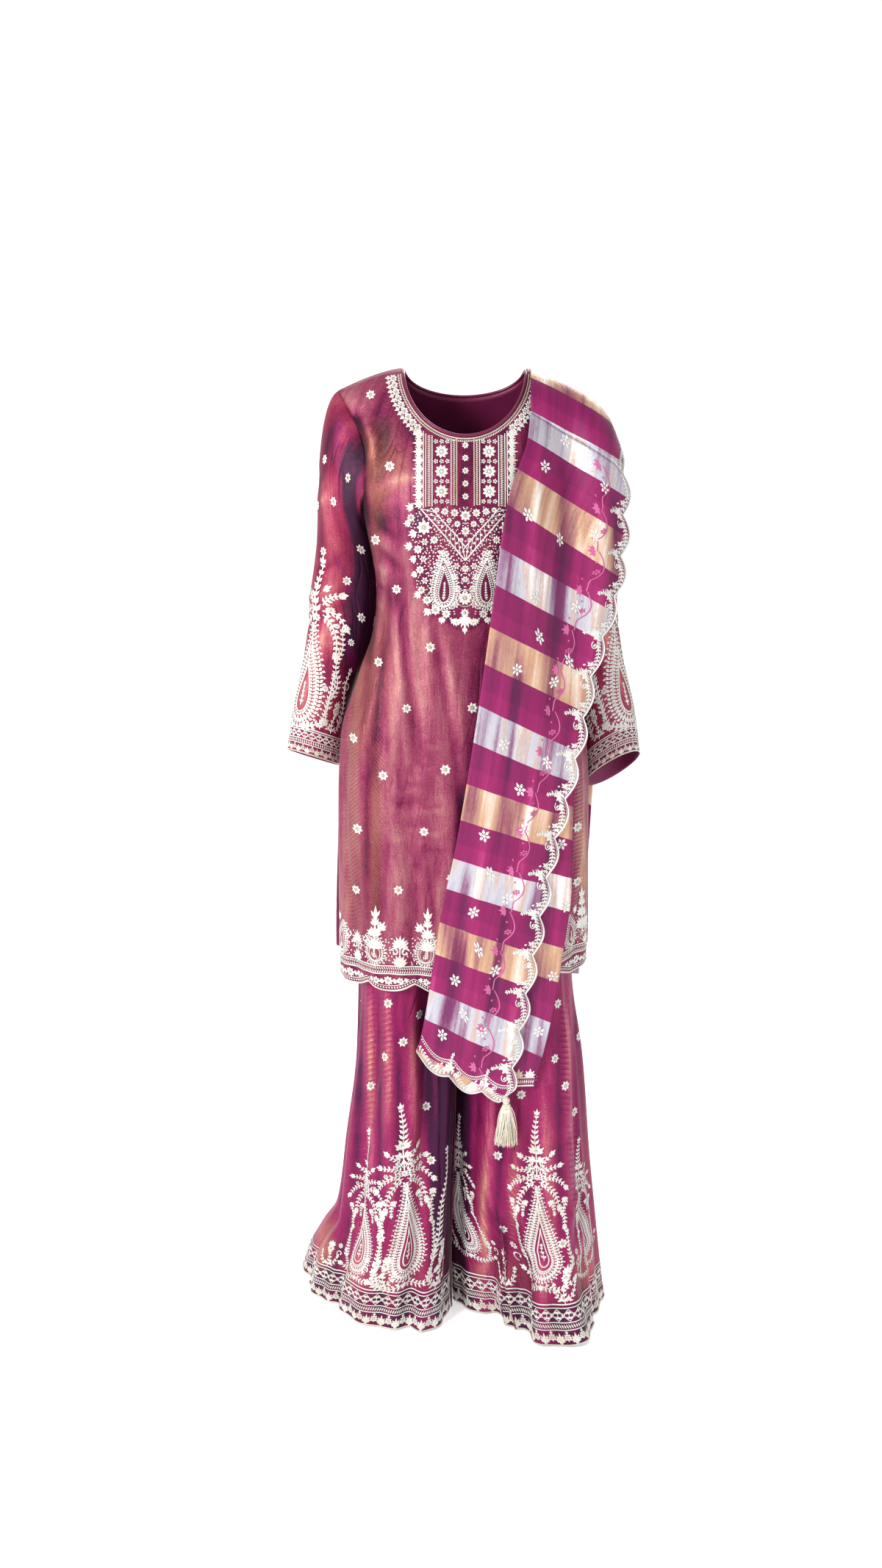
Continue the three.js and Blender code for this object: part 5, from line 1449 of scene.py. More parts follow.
def dupatta_cloth(name):
    """Organza with metallic stripes, silver and gold in turn, and rosy cloth between them."""
    g = Graph(name)
    across, down = g.field("across"), g.field("down")
    # n counts the stripes: the metallic one is the first part of each, silver and gold in turn
    n = g.field("stripe") + g.noise(g.place(), 9, 2, 0.5, 1.0) * 0.012
    part, turn = g.math("FRACT", n), g.math("FLOOR", n)
    metal = g.math("LESS_THAN", part, 0.47)
    gold = g.math("GREATER_THAN", g.math("FLOORED_MODULO", turn, 2.0), 0.5)
    # each stripe has its own run of patches, from the layers beneath and from painted reflection on the metal,
    # some a hand wide and some narrow, and streaks of painted highlight and shade down the fall; folds run on
    # through all of them
    patch = g.noise(g.vector(across * 19.0, turn * 3.7, down * 4.0), 1.0, 2, 0.5, 0.95)
    streak = g.noise(g.vector(across * 170.0, turn * 5.1, down * 6.0), 1.0, 2, 0.6, 0.1)
    fine = g.noise(g.stretch(900, 120), 1.0, 2, 0.6, 0.2)
    # the folds' painted highlight and shade, with noise drawn out down the fall
    tone = g.field("tone") * 1.6 + g.noise(g.stretch(74, 3.2), 1.0, 2, 0.62, 0.5)
    sheen = patch + streak + fine + tone + 0.5
    silver = g.ramp(sheen, """0 124 60 104; .2 156 118 144; .4 182 174 186; .58 202 200 210
        .72 202 176 166; .86 220 206 200; 1 246 242 242""")
    golden = g.ramp(sheen, """0 128 56 92; .2 160 104 112; .4 188 146 132; .56 206 164 134
        .7 216 188 166; .84 228 208 192; 1 248 238 228""")
    inner = g.math("GREATER_THAN", part, 0.78)  # a lighter band runs along each plain stripe
    # the rosy stripes take the folds' painted highlight and shade too
    body = inner * 0.12 + fine * 0.7 + tone * 0.8 + patch * 0.12 + 0.34
    rosy = g.ramp(body, "0 94 6 72; .35 132 12 88; .65 154 26 100; 1 188 68 128")
    colour = g.blend(metal, rosy, g.blend(gold, silver, golden))
    weave = g.noise(g.stretch(1500, 150), 1.0, 2, 0.6, 0.5) + g.noise(g.place(), 60, 4, 0.6, 0.55)
    return g.finish(
        colour,
        g.bump(weave, 0.4, 0.0012),
        Metallic=metal * 0.5,
        Roughness=metal * -0.14 + 0.52,
        Sheen_Weight=0.14,
        Sheen_Roughness=0.35,
        Specular_IOR_Level=0.45,
    )


organza = dupatta_cloth("dupatta_organza")


def thread(name, silver, gold, metallic):
    """Thread that turns from one colour to the other with the stitches' tone."""
    g = Graph(name)
    speck, patch = g.noise(g.place(), 760, 2, 0.7, 0.85), g.noise(g.place(), 20, 2, 0.6, 0.5)
    colour = g.blend((g.field("tone") + patch + speck).held(), silver, gold)
    return g.finish(
        colour,
        g.bump(g.noise(g.place(), 1400, 2, 0.7, 1.0), 0.5, 0.0005),
        Metallic=metallic,
        Roughness=0.42,
        Sheen_Weight=0.1,
        Specular_IOR_Level=0.5,
    )


zari = thread("zari_thread", srgb(226, 227, 224), srgb(186, 160, 122), 0.22)
rose_thread = thread("rose_thread", srgb(200, 104, 152), srgb(186, 88, 140), 0.1)
tassel_silk = thread("tassel_thread", srgb(244, 238, 224), srgb(222, 198, 158), 0.1)


# ---------- embroidery ----------
OVER_CLOTH = 0.15  # how far the foot of a stitch stands off the cloth


def path_points(path, pitch):
    """Even places along a path, and the direction of travel at each."""
    p = np.asarray(path, float)
    run = np.concatenate([[0], np.cumsum(np.linalg.norm(np.diff(p, axis=0), axis=1))])
    count = max(1, int(round(run[-1] / pitch)))
    want = run[-1] * (np.arange(count) + 0.5) / count
    behind, (x, y), ahead = ([np.interp(want + step, run, p[:, k]) for k in (0, 1)] for step in (-0.4, 0, 0.4))
    return x, y, np.arctan2(ahead[1] - behind[1], ahead[0] - behind[0])


def lists(*values):
    """Numbers or lists of them, as lists of one length."""
    return np.broadcast_arrays(*(np.atleast_1d(np.asarray(v, float)) for v in values))


def span(x0, x1, y, step=4.0):
    """A level path."""
    n = max(2, int(abs(x1 - x0) / step))
    return np.stack([np.linspace(x0, x1, n + 1), np.full(n + 1, float(y))], 1)


def plumb(x, y0, y1):
    """An upright path."""
    return span(y0, y1, x)[:, ::-1]


class Work:
    """Raised stitches on a cloth, laid out flat in the two fields of a chart."""

    def __init__(self, cloth, A, B):
        self.cloth, self.A, self.B = cloth, A, B
        self.points, self.faces, self.tones, self.count = [], [], [], 0
        self.busy = []

    def add(self, points, faces, tone):
        points = np.asarray(points, float).reshape(-1, 3)
        self.points.append(points)
        self.faces.append(np.asarray(faces).reshape(-1, 3) + self.count)
        self.tones.append(np.full(len(points), tone))
        self.count += len(points)

    def build(self, name, thread):
        """The stitches as one mesh on the cloth."""
        points, faces = np.vstack(self.points), np.vstack(self.faces)
        r, c = self.cloth.locate(points[:, 0], points[:, 1], self.A, self.B)
        n = self.cloth.read(self.cloth.normals(), r, c)
        n /= np.linalg.norm(n, axis=1, keepdims=True)
        place = self.cloth.read(self.cloth.P, r, c) + n * (points[:, 2:] + OVER_CLOTH)
        a, b, d = (place[faces[:, k]] for k in range(3))
        turn = np.einsum("ij,ij->i", np.cross(b - a, d - a), n[faces[:, 0]]) < 0
        faces[turn] = faces[turn][:, ::-1]
        # a stitch that fell off the edge of the cloth has no size left
        size = np.linalg.norm(np.cross(b - a, d - a), axis=1)
        faces = faces[size > 0.02]
        obj = make_mesh(name, place * 0.001, faces, [thread], smooth=False)
        put_field(obj, "tone", np.concatenate(self.tones))
        return obj


class Pen:
    """Draws on a Work from its own origin, turn in degrees, size and hand."""

    def __init__(self, work, x=0.0, y=0.0, turn=0.0, size=1.0, flip=1, tone=0.25):
        self.work, self.x, self.y, self.turn = work, x, y, turn
        self.size, self.flip, self.tone = size, flip, tone
        t = math.radians(turn)
        self.cos, self.sin = math.cos(t), math.sin(t)

    def child(self, x=0.0, y=0.0, turn=0.0, size=1.0, flip=1):
        """A pen whose origin, turn, size and hand are given in this one's terms."""
        x, y = map(float, self.spot(x, y))
        return Pen(self.work, x, y, self.turn + turn * self.flip, self.size * size, self.flip * flip, self.tone)

    def spot(self, x, y):
        """Where a place of this pen's lies on the chart."""
        x, y = np.asarray(x, float) * self.size * self.flip, np.asarray(y, float) * self.size
        return self.x + x * self.cos - y * self.sin, self.y + x * self.sin + y * self.cos

    def _send(self, x, y, h, faces, tone):
        x, y = self.spot(x, y)
        h = np.broadcast_to(h, np.shape(x)) * min(1.0, self.size**0.5)
        points = np.stack([x.ravel(), y.ravel(), h.ravel()], 1)
        self.work.add(points, faces, self.tone if tone is None else tone)

    def note(self, x, y, radius):
        """Marks a place as taken, for seeds to stay clear of."""
        wx, wy = self.spot(x, y)
        self.work.busy.append((float(wx), float(wy), radius * self.size))

    def braid(self, path, size):
        """A herringbone of leaf-shaped stitches along a path."""
        x, y, along = path_points(path, size * 0.5)
        for hand in (1, -1):
            self.leaves(x, y, along + hand * 0.86, size * 0.66, size * 0.42, 1.0)

    def seeds(self, corners, pitch, radius):
        """Small knots scattered over an outline's inside, clear of the motifs already there."""
        corners = np.asarray(corners, float)
        low, high = corners.min(0), corners.max(0)
        xs, ys = np.arange(low[0], high[0], pitch), np.arange(low[1], high[1], pitch * 0.86)
        x, y = np.meshgrid(xs, ys)
        x = x + (np.arange(len(ys)) % 2)[:, None] * pitch / 2
        x, y = x.ravel(), y.ravel()
        x, y = x + 0.9 * np.sin(x * 3.1 + y * 7.7), y + 0.9 * np.sin(x * 5.3 - y * 2.9)
        within = np.zeros(len(x), bool)
        for (ax, ay), (bx, by) in zip(corners, np.roll(corners, -1, 0)):
            cross = ((ay > y) != (by > y)) & (x < (bx - ax) * (y - ay) / (by - ay + 1e-12) + ax)
            within ^= cross
        wx, wy = self.spot(x, y)
        for bx, by, r in self.work.busy:
            within &= (wx - bx) ** 2 + (wy - by) ** 2 > (r + 1.2) ** 2
        x, y = x[within], y[within]
        if len(x):
            turn = x * 1.7 + y * 2.3
            third = np.arange(len(x)) % 3 == 0
            self.beads(x[third], y[third], radius, 1.0, sides=5)
            self.leaves(x[~third], y[~third], turn[~third], radius * 2.9, radius * 1.5)

    def leaves(self, x, y, angle, length, width, high=0.9, tone=None):
        """Pointed stitches from each place, at angles in radians from +x."""
        x, y, angle, length, width = lists(x, y, angle, length, width)
        ca, sa = np.cos(angle), np.sin(angle)
        u = np.array([0.0, 0.45, 1.0, 0.45, 0.5])[None] * length[:, None]
        v = np.array([0.0, 0.5, 0.0, -0.5, 0.0])[None] * width[:, None]
        px = x[:, None] + u * ca[:, None] - v * sa[:, None]
        py = y[:, None] + u * sa[:, None] + v * ca[:, None]
        h = np.array([0.2, 0.25, 0.2, 0.25, high])[None] + 0 * px
        base = 5 * np.arange(len(x))[:, None, None]
        f = np.array([[0, 4, 1], [1, 4, 2], [2, 4, 3], [3, 4, 0]])[None] + base
        self._send(px, py, h, f, tone)

    def beads(self, x, y, radius, high=1.1, tone=None, sides=6):
        """Small cones, one at each place."""
        x, y, radius = lists(x, y, radius)
        angle = 2 * np.pi * np.arange(sides) / sides
        px = np.concatenate([x[:, None], x[:, None] + radius[:, None] * np.cos(angle)], 1)
        py = np.concatenate([y[:, None], y[:, None] + radius[:, None] * np.sin(angle)], 1)
        h = np.concatenate([np.full((len(x), 1), high), np.full((len(x), sides), 0.2)], 1)
        base = (sides + 1) * np.arange(len(x))[:, None, None]
        k = np.arange(sides)
        f = np.stack([0 * k, 1 + k, 1 + (k + 1) % sides], 1)[None] + base
        self._send(px, py, h, f, tone)

    def ribbon(self, path, width=1.4, high=0.8, closed=False, tone=None):
        """A ridged band along a path."""
        p = np.asarray(path, float)
        d = (np.roll(p, -1, 0) - np.roll(p, 1, 0)) if closed else np.gradient(p, axis=0)
        d /= np.maximum(np.linalg.norm(d, axis=1, keepdims=True), 1e-9)
        w = np.broadcast_to(np.asarray(width, float), (len(p),))[:, None] / 2
        side = np.stack([-d[:, 1], d[:, 0]], 1) * w
        three = np.stack([p + side, p, p - side], 1)
        h = np.array([0.2, high, 0.2])[None] + np.zeros((len(p), 3))
        n = len(p)
        i = np.arange(n if closed else n - 1)
        j = (i + 1) % n
        f = []
        for k in (0, 1):
            a, b, c, e = 3 * i + k, 3 * i + k + 1, 3 * j + k + 1, 3 * j + k
            f += [np.stack([a, b, c], 1), np.stack([a, c, e], 1)]
        self._send(three[..., 0], three[..., 1], h, np.concatenate(f), tone)

    def line(self, x0, x1, y, width, high=0.8, tone=None, step=4.0):
        """A level ribbon."""
        self.ribbon(span(x0, x1, y, step), width, high, tone=tone)

    def stitches(self, path, pitch, length, slant, width, tone=None):
        """Slanted stitches centred on a path."""
        x, y, along = path_points(path, pitch)
        angle = along + math.radians(slant)
        x, y = x - np.cos(angle) * length / 2, y - np.sin(angle) * length / 2
        self.leaves(x, y, angle, length, width, 0.8, tone)

    def dots(self, path, pitch, radius):
        """A row of beads."""
        x, y, _ = path_points(path, pitch)
        self.beads(x, y, radius, 1.0)

    def flower(self, x, y, radius, petals=6, fat=0.62, tone=None, spin=0.0, ring=False):
        """Petals with a bead on each, round a higher bead, and a ring round them all where that is asked for."""
        angle = 2 * np.pi * np.arange(petals) / petals + spin
        self.note(x, y, radius)
        ca, sa = np.cos(angle), np.sin(angle)
        start, tips = radius * 0.2, radius * 0.72
        self.leaves(x + start * ca, y + start * sa, angle, radius - start, radius * fat, 1.0, tone)
        self.beads(x + tips * ca, y + tips * sa, radius * 0.21, 1.15, tone, 5)
        self.beads(x, y, radius * 0.24, 1.5, 0.75 if tone is None else tone)
        if ring:
            a = 2 * np.pi * np.arange(20) / 20
            rim = np.stack([x + radius * 1.16 * np.cos(a), y + radius * 1.16 * np.sin(a)], 1)
            self.ribbon(rim, 1.1, closed=True, tone=tone)

    def spray(self, path, leaf, wide, pitch, spread=46, taper=0.5):
        """A stem with pairs of leaves, smaller towards the end, and a bud there."""
        line = smooth_path(path, 6)
        self.ribbon(line, 1.6)
        x, y, along = path_points(line, pitch)
        share = np.linspace(1, taper, len(x))
        for hand in (1, -1):
            angle = along + hand * math.radians(spread)
            self.leaves(x, y, angle, leaf * share, wide * (0.6 + 0.4 * share))
        end = line[-1]
        way = math.atan2(*(line[-1] - line[-2])[::-1])
        for off, size in ((0, 1.0), (34, 0.75), (-34, 0.75)):
            self.leaves(end[0], end[1], way + math.radians(off), leaf * size * 0.9, wide * 0.9)

    def curl(self, x, y, radius, start, turns, width):
        """A spiral tendril that winds in from a place."""
        t = np.linspace(0, 1, 16)
        angle = math.radians(start) + turns * 2 * np.pi * t
        r = radius * (1 - 0.72 * t)
        cx, cy = x - radius * math.cos(math.radians(start)), y - radius * math.sin(math.radians(start))
        px, py = cx + r * np.cos(angle), cy + r * np.sin(angle)
        self.ribbon(np.stack([px, py], 1), width)
        self.beads(px[-1], py[-1], radius * 0.22)

    def drop(self, wide, tall, lean, power, count):
        """The outline of a teardrop, foot at the origin and tip up, leaning to +x at the tip."""
        phi = 2 * np.pi * np.arange(count) / count
        half = np.sin(phi) * np.abs(np.sin(phi / 2)) ** power
        x = wide / 2 * half / 0.78
        y = tall * (1 + np.cos(phi)) / 2
        x = x + lean * (y / tall) ** 2.6
        return np.stack([x, y], 1)

    def paisley(self, wide, tall, lean, braids, lines, size=8.0, power=1.3):
        """A teardrop in a fringe, of braids and lines at their shares of the whole, with a sprig at its heart."""
        count = int(max(30, tall * 0.5))

        def ring(share):
            inner = self.drop(wide * share, tall * (share**0.75), lean * share, power, count)
            inner[:, 1] += tall * (1 - share**0.75) * 0.24
            return inner

        for share in braids:
            loop = ring(share)
            self.braid(np.vstack([loop, loop[:1]]), size * (0.65 + 0.35 * share))
        for share in lines:
            self.ribbon(ring(share), max(1.5, wide * 0.03), closed=True)
        outer = ring(1.0)
        x, y, along = path_points(np.vstack([outer, outer[:1]]), max(6.0, tall * 0.05))
        off = size * 0.42
        self.leaves(x - np.sin(along) * off, y + np.cos(along) * off, along + np.pi / 2 + 0.2, size * 0.5, 2.6)
        heart = min([*lines, *braids]) * 0.7
        foot = tall * (1 - heart**0.75) * 0.3
        self.spray(
            [(0, foot), (lean * 0.04, foot + tall * heart * 0.36), (lean * 0.14, foot + tall * heart * 0.7)],
            leaf=max(4.0, wide * 0.1), wide=max(2.4, wide * 0.05), pitch=max(4.0, tall * 0.05),
        )
        self.note(0, tall * 0.34, wide * 0.46)
        self.note(lean * 0.2, tall * 0.62, wide * 0.3)

    def palmette(self, radius, leaves, spread, width, tone=None):
        """A fan of leaves from one bead."""
        angle = np.radians(90 + np.linspace(-spread / 2, spread / 2, leaves))
        length = radius * (1 - 0.32 * np.abs(np.linspace(-1, 1, leaves)))
        self.note(0, radius * 0.45, radius * 0.55)
        self.leaves(0, 0, angle, length, width, tone=tone)
        self.beads(0, 0, radius * 0.18, 1.3, tone=tone)

    def flowers(self, rows, *more):
        """Flowers from a text with a place and a radius for each, and a number of petals where that varies."""
        for row in grid(rows):
            self.flower(*row[:3], *more)

    def scatter(self, places, radius, turn, petals=7, fat=0.62, tone=None, cloth=None, mirror=False):
        """Flowers that each turn a little further than the last. On a cloth their places are x and z."""
        for i, (x, y) in enumerate(grid(places)):
            if cloth:
                x, y = at(cloth, -x if mirror else x, y)
            self.flower(x, y, radius, petals, fat, tone, turn * i)


# --- the yoke and the neck of the kameez, in x and z ---
def neck_path(off, low=-84, high=84):
    """A path round the neck, off the edge by a distance, between two angles from straight down."""
    t = np.radians(np.linspace(low, high, 60))
    p = np.stack([NECK_HALF * np.sin(t), -NECK_FRONT * np.cos(t)], 1)
    n = np.stack([np.sin(t) / NECK_HALF, -np.cos(t) / NECK_FRONT], 1)
    return p + off * n / np.linalg.norm(n, axis=1, keepdims=True)


def yoke(work):
    """The neck's borders, the bands and the V on the chest, and the paisleys and flowers round it."""
    pen = Pen(work, tone=0.12)
    pen.ribbon(neck_path(2.4), 2.0, tone=0.6)
    pen.stitches(neck_path(6.0), 2.8, 4.4, 60, 2.1, tone=0.3)
    for low, high in ((-84, -37), (37, 84)):
        x, y, along = path_points(neck_path(14.2, low, high), 11.2)
        for i in range(len(x)):
            pen.flower(x[i], y[i], 6.6, 7, 0.62, spin=along[i])
        x, y, along = path_points(neck_path(19.0, low, high), 7.4)
        for off, length, width in ((0, 8.0, 4.8), (0.7, 5.4, 3.0), (-0.7, 5.4, 3.0)):
            pen.leaves(x, y, along - np.pi / 2 + off, length, width)
    for hand in (1, -1):
        half = pen.child(0, 0, flip=hand)
        # upright bands beside the plain strip down the middle
        half.ribbon(plumb(12.8, -109, -207), 1.6, tone=0.5)
        half.stitches(plumb(17.0, -111, -206), 2.8, 5.6, 60, 2.2, tone=0.55)
        half.ribbon(plumb(21.0, -110, -206), 1.5)
        for k in range(3):
            half.flower(35.0, -128.0 - 29 * k, 10.4, 9, 0.5, tone=0.2)
        for k in range(4):
            for off in (-8.5, 0, 8.5):
                half.flower(35.0 + off, -113.5 - 29 * k, 4.0, 5, 0.7)
        half.ribbon(plumb(49.0, -105, -208), 1.6)
        half.stitches(plumb(53.6, -104, -208), 2.6, 6.6, 74, 2.2, tone=0.5)
        half.ribbon(plumb(58.4, -102, -209), 1.6)
        half.ribbon(plumb(62.0, -98, -210), 2.2, tone=0.45)
        for k in range(9):
            half.child(64.5, -103.0 - 12.6 * k, -90).palmette(14, 5, 116, 5.2)
            half.beads(69.5, -96.7 - 12.6 * k, 2.2)
        # the V below them, a lattice between two lines
        outer = smooth_path([(66, -211), (44, -235), (22, -260), (0.2, -286)], 9)
        inner = smooth_path([(50, -210), (33, -229), (16, -247), (0.2, -266)], 9)
        half.ribbon(outer, 2.0)
        half.ribbon(inner, 1.8)
        for first in (0, 1):
            zig = np.array([outer[i] if (i // 3 + first) % 2 else inner[i] for i in range(0, len(outer), 3)])
            half.ribbon(zig, 1.5)
        half.dots((outer + inner) / 2, 8, 1.9)
        # flowers inside it
        half.flowers("""0.01 -221 8.6; 16 -217 6.6; 30 -215 6; 42 -213 4.6; 0.01 -243 7; 12 -233 5.4; 24 -228 4.6
            6 -256 3.8""", 8, 0.55)
        half.seeds(grid("-1 -209; 50 -209; 33 -229; 0 -262"), 4.0, 1.2)
        # paisleys that lean out under the V, with rosettes and sprigs round them
        half.child(34, -357, 8).paisley(38, 84, 12, (1.0, 0.58), (0.8,), 7.5)
        for x, y, r in grid("""
            61 -238 11.2; 80 -224 6.6; 46 -256 6.6; 60 -259 6; 70 -270 7; 62 -284 6; 67 -300 6.8; 60 -316 6
            65 -330 6.6; 57 -345 7.4; 44 -360 8.2; 28 -366 7; 14 -352 5.6; 13 -294 5.8; 17 -310 5; 11 -328 6
            28 -276 5.4
        """):
            half.flower(x, y, r, 8 if r > 6 else 6, 0.56)
        for x, y, turn, r in grid("""
            78 -210 -70 12; 82 -232 -95 10; 74 -246 -110 12; 80 -266 -80 12; 74 -284 -95 10; 73 -306 -110 9
            68 -336 -120 11; 54 -360 -140 12; 34 -372 -170 10; 16 -374 -175 10
        """):
            half.child(x, y, turn).palmette(r, 5, 120, 4.6)
        half.seeds(grid("0 -286; 66 -212; 84 -226; 78 -262; 72 -336; 54 -364; 20 -374; 0 -330"), 4.4, 1.3)
    for k in range(5):
        pen.flower(0, -119 - 18.6 * k, 5.4, 7, 0.66)
    pen.flower(0, -298, 6.4, 8, 0.5)
    pen.flower(0, -314, 5.2)
    pen.flower(0, -342, 11.0, 10, 0.46, ring=True)
    pen.flowers("0 -364 7; -13 -378 6.6; 13 -378 6.6", 8, 0.56)
    pen.child(0, -370, 180).palmette(20, 7, 120, 6)
    pen.child(0, -386, 180).palmette(11, 3, 60, 5)


def kameez_border(work, x0, x1):
    """Rows above the scalloped hem, in A and the height over the straight hem."""
    pen = Pen(work, tone=0.14)
    left, right = work.cloth.A[-1, [0, -1]]
    a = np.linspace(x0, x1, int((x1 - x0) / 2.2))
    edge = hem_cut((a - left) / (right - left))
    pen.ribbon(np.stack([a, edge + 1.6], 1), 2.8, 1.3, tone=0.3)
    pen.dots(np.stack([a, edge + 6.0], 1), 4.6, 1.6)
    pen.ribbon(np.stack([a, edge + 9.4], 1), 1.4)
    pen.line(x0, x1, 29, 2.0)
    pen.stitches(span(x0, x1, 32.4), 3.6, 6.6, 62, 2.3, tone=0.2)
    pen.stitches(span(x0, x1, 38.0), 3.6, 6.6, 118, 2.3, tone=0.2)
    pen.line(x0, x1, 41.6, 2.0)
    for k in range(HEM_SCALLOPS):  # a spray of flowers in each scallop
        x = mix(left, right, (k + 0.5) / HEM_SCALLOPS)
        pen.flower(x, 17.5, 8.0, 8, 0.6)
        for hand in (1, -1):
            half = pen.child(x, 17, flip=hand)
            half.child(8, 0, -86).palmette(9, 3, 84, 5)
            half.flower(20, 1, 6.4, 7, 0.62)
            half.child(27, 2, -74).palmette(8, 3, 84, 4.4)
    for k in range(2 * HEM_SCALLOPS):  # over them paisleys and fans in turn
        x = mix(left, right, (k + 0.5) / (2 * HEM_SCALLOPS))
        if not x0 + 4 < x < x1 - 4:
            continue
        if k % 2 == 0:
            child = pen.child(x, 46, flip=1 if k % 4 == 0 else -1)
            child.paisley(33, 52, 9, (1.0,), (0.62,))
            child.stitches([(-5, 10), (6, 14)], 3.4, 10, 60, 2.0)
            child.curl(20, 42, 7, 100, 0.9, 2.4)
            child.child(-8, 54, 30).palmette(15, 5, 120, 5.4)
        else:
            child = pen.child(x, 43)
            child.palmette(20, 7, 130, 6.4)
            child.ribbon([(0, 14), (0, 38)], 2.2)
            child.child(0, 30).palmette(20, 9, 170, 5.8)
            for hand in (1, -1):
                child.child(flip=hand).curl(15, 24, 7, 20, 0.9, 2.4)
    pen.seeds([(x0 + 4, 45), (x1 - 4, 45), (x1 - 4, 88), (x0 + 4, 88)], 6.6, 1.6)


def finial(pen):
    """Fans one over another on a stem, with a three-pointed tip."""
    pen.ribbon([(0, -6), (0, 24), (0, 56)], 2.4)
    for y, *fan in ((8, 20, 9, 170, 6.2), (28, 18, 7, 150, 6.0), (45, 14, 5, 120, 5.2), (56, 21, 3, 62, 5.6)):
        pen.child(0, y).palmette(*fan)


def hem_border(work, x0, x1, tall=60):
    """The broad border of the sharara and the cuffs, in A and the height over the hem."""
    pen = Pen(work, tone=0.14)
    k = tall / 60
    long = abs(x1 - x0)
    pen.line(x0, x1, 1.4, 2.6, 1.4, 0.45)
    count = max(2, int(long / (11.5 * k)))
    for i in range(count):
        x = mix(x0, x1, (i + 0.5) / count)
        if i % 2 == 0:
            pen.flower(x, 12.5 * k, 6.4 * k, 8, 0.56, tone=0.3)
            pen.child(x, 18 * k).palmette(5 * k, 3, 90, 2.6 * k)
        else:
            pen.child(x, 4.5 * k, size=k).palmette(15, 5, 100, 5.4, tone=0.3)
    pen.line(x0, x1, 23 * k, 1.8)
    pen.stitches(span(x0, x1, 28.4 * k), 3.9, 8.2 * k, 72, 2.7, tone=0.16)
    pen.line(x0, x1, 33.8 * k, 1.8)
    cells = max(2, int(long / (17 * k)))
    t = np.arange(cells + 1)
    for first in (0, 1):  # a lattice of two zigzags
        zig = np.stack([mix(x0, x1, t / cells), (35.5 + 17 * ((t + first) % 2)) * k], 1)
        pen.ribbon(evenly(zig, np.linspace(0, 1, 4 * cells + 1)), 1.7)
    for i in range(cells):
        x = mix(x0, x1, (i + 0.5) / cells)
        pen.flower(x, 43.9 * k, 3.6 * k, 5, 0.7)
    for i in range(cells + 1):
        x = mix(x0, x1, i / cells)
        for y, up in ((38.5, 1), (49.5, -1)):
            pen.leaves(x, y * k, np.radians([90, 40, 140]) * up, 6.0 * k, 3.0 * k)
    pen.line(x0, x1, 54.4 * k, 1.8)
    pen.line(x0, x1, tall - 0.6, 2.2, tone=0.1)


def feather(pen, x, y, turn, tall, wide=13.0):
    """A straight sprig thick with leaves."""
    child = pen.child(x, y, turn)
    child.spray([(0, 0), (0, tall * 0.5), (0, tall)], wide * 0.68, wide * 0.29, wide * 0.52, 44, taper=0.5)
    child.note(0, tall * 0.5, wide * 0.4)


def cluster(pen, x, y, turn, size=1.0):
    """A drooping bunch: three-lobed leaves on a short stem with a tapering tail."""
    child = pen.child(x, y, turn, size)
    child.child(turn=150).palmette(13, 3, 76, 6.4)
    child.child(turn=215).palmette(12, 3, 70, 5.8)
    child.beads(0, 0, 2.4)
    child.spray([(0, 0), (2, -12), (-1, -27)], 9, 4.8, 6.5, 44, taper=0.5)


def branch(pen, path, leaf=9.8, wide=4.2):
    """A curving branch with a diamond of leaves at its end."""
    pen.spray(path, leaf, wide, leaf * 0.78, 48, taper=0.66)
    (x0, y0), (x, y) = path[-2:]
    pen.child(x, y, math.degrees(math.atan2(y - y0, x - x0)) - 90).palmette(leaf * 1.15, 3, 84, wide * 1.25)


def great_spray(pen, tall):
    """The tall motif of the sharara: a teardrop among flowers under a long spray, its foot at the origin."""
    p = pen.child(size=tall / 300)
    p.child(0, 14).paisley(70, 160, 0, (1.0, 0.66), (0.83, 0.5, 0.3), 10.0, 2.3)
    p.child(0, 6, 180).palmette(10, 5, 130, 5)
    for hand in (1, -1):
        h = p.child(flip=hand)
        h.curl(6, 178, 7, 210, 0.85, 2.2)
        feather(h, 50, 30, 3, 62, 14)
        feather(h, 41, 6, -16, 40, 11)
        branch(h, [(3, 6), (22, 0), (40, 3), (58, 14)])
        h.curl(66, 26, 9, -80, 0.8, 2.2)
        h.flower(66, 52, 6.2, 8, 0.56)
        branch(h, [(3, 182), (16, 176), (30, 160), (36, 138)])
        branch(h, [(36, 138), (44, 120), (43, 104)], 8.2, 3.8)
        cluster(h, 22, 150, 16, 0.8)
        cluster(h, 48, 150, -14, 0.86)
        branch(h, [(3, 186), (20, 190), (38, 182), (50, 168)], 9, 4.0)
        branch(h, [(3, 192), (20, 204), (40, 206)], 9, 4.0)
        branch(h, [(2, 200), (12, 216), (26, 228)], 9, 4.0)
        h.flowers("31 193 4.8; 12 206 4.6", 6, 0.66)
        h.child(3, 232, -48).palmette(15, 3, 60, 6)
        h.child(3, 218, -60).palmette(15, 3, 70, 6)
    p.flower(0, 190, 6.2, 8, 0.56)
    p.ribbon([(0, 190), (0, 214), (0, 236)], 2.4)
    p.spray([(0, 232), (2, 262), (-1, 296)], 13.5, 5.2, 9, 40, taper=0.45)


def small_spray(pen, tall):
    """A low sprig of three stems, its foot at the origin."""
    p = pen.child(size=tall / 60)
    p.spray([(0, 0), (2, 16), (0, 30)], 9, 4.6, 7)
    p.flower(0, 40, 7.6, 8, 0.56)
    for hand in (1, -1):
        p.child(flip=hand).spray([(2, 4), (13, 13), (17, 27)], 8.5, 4.2, 6.5)
    p.child(0, 46).palmette(14, 5, 110, 5.4)


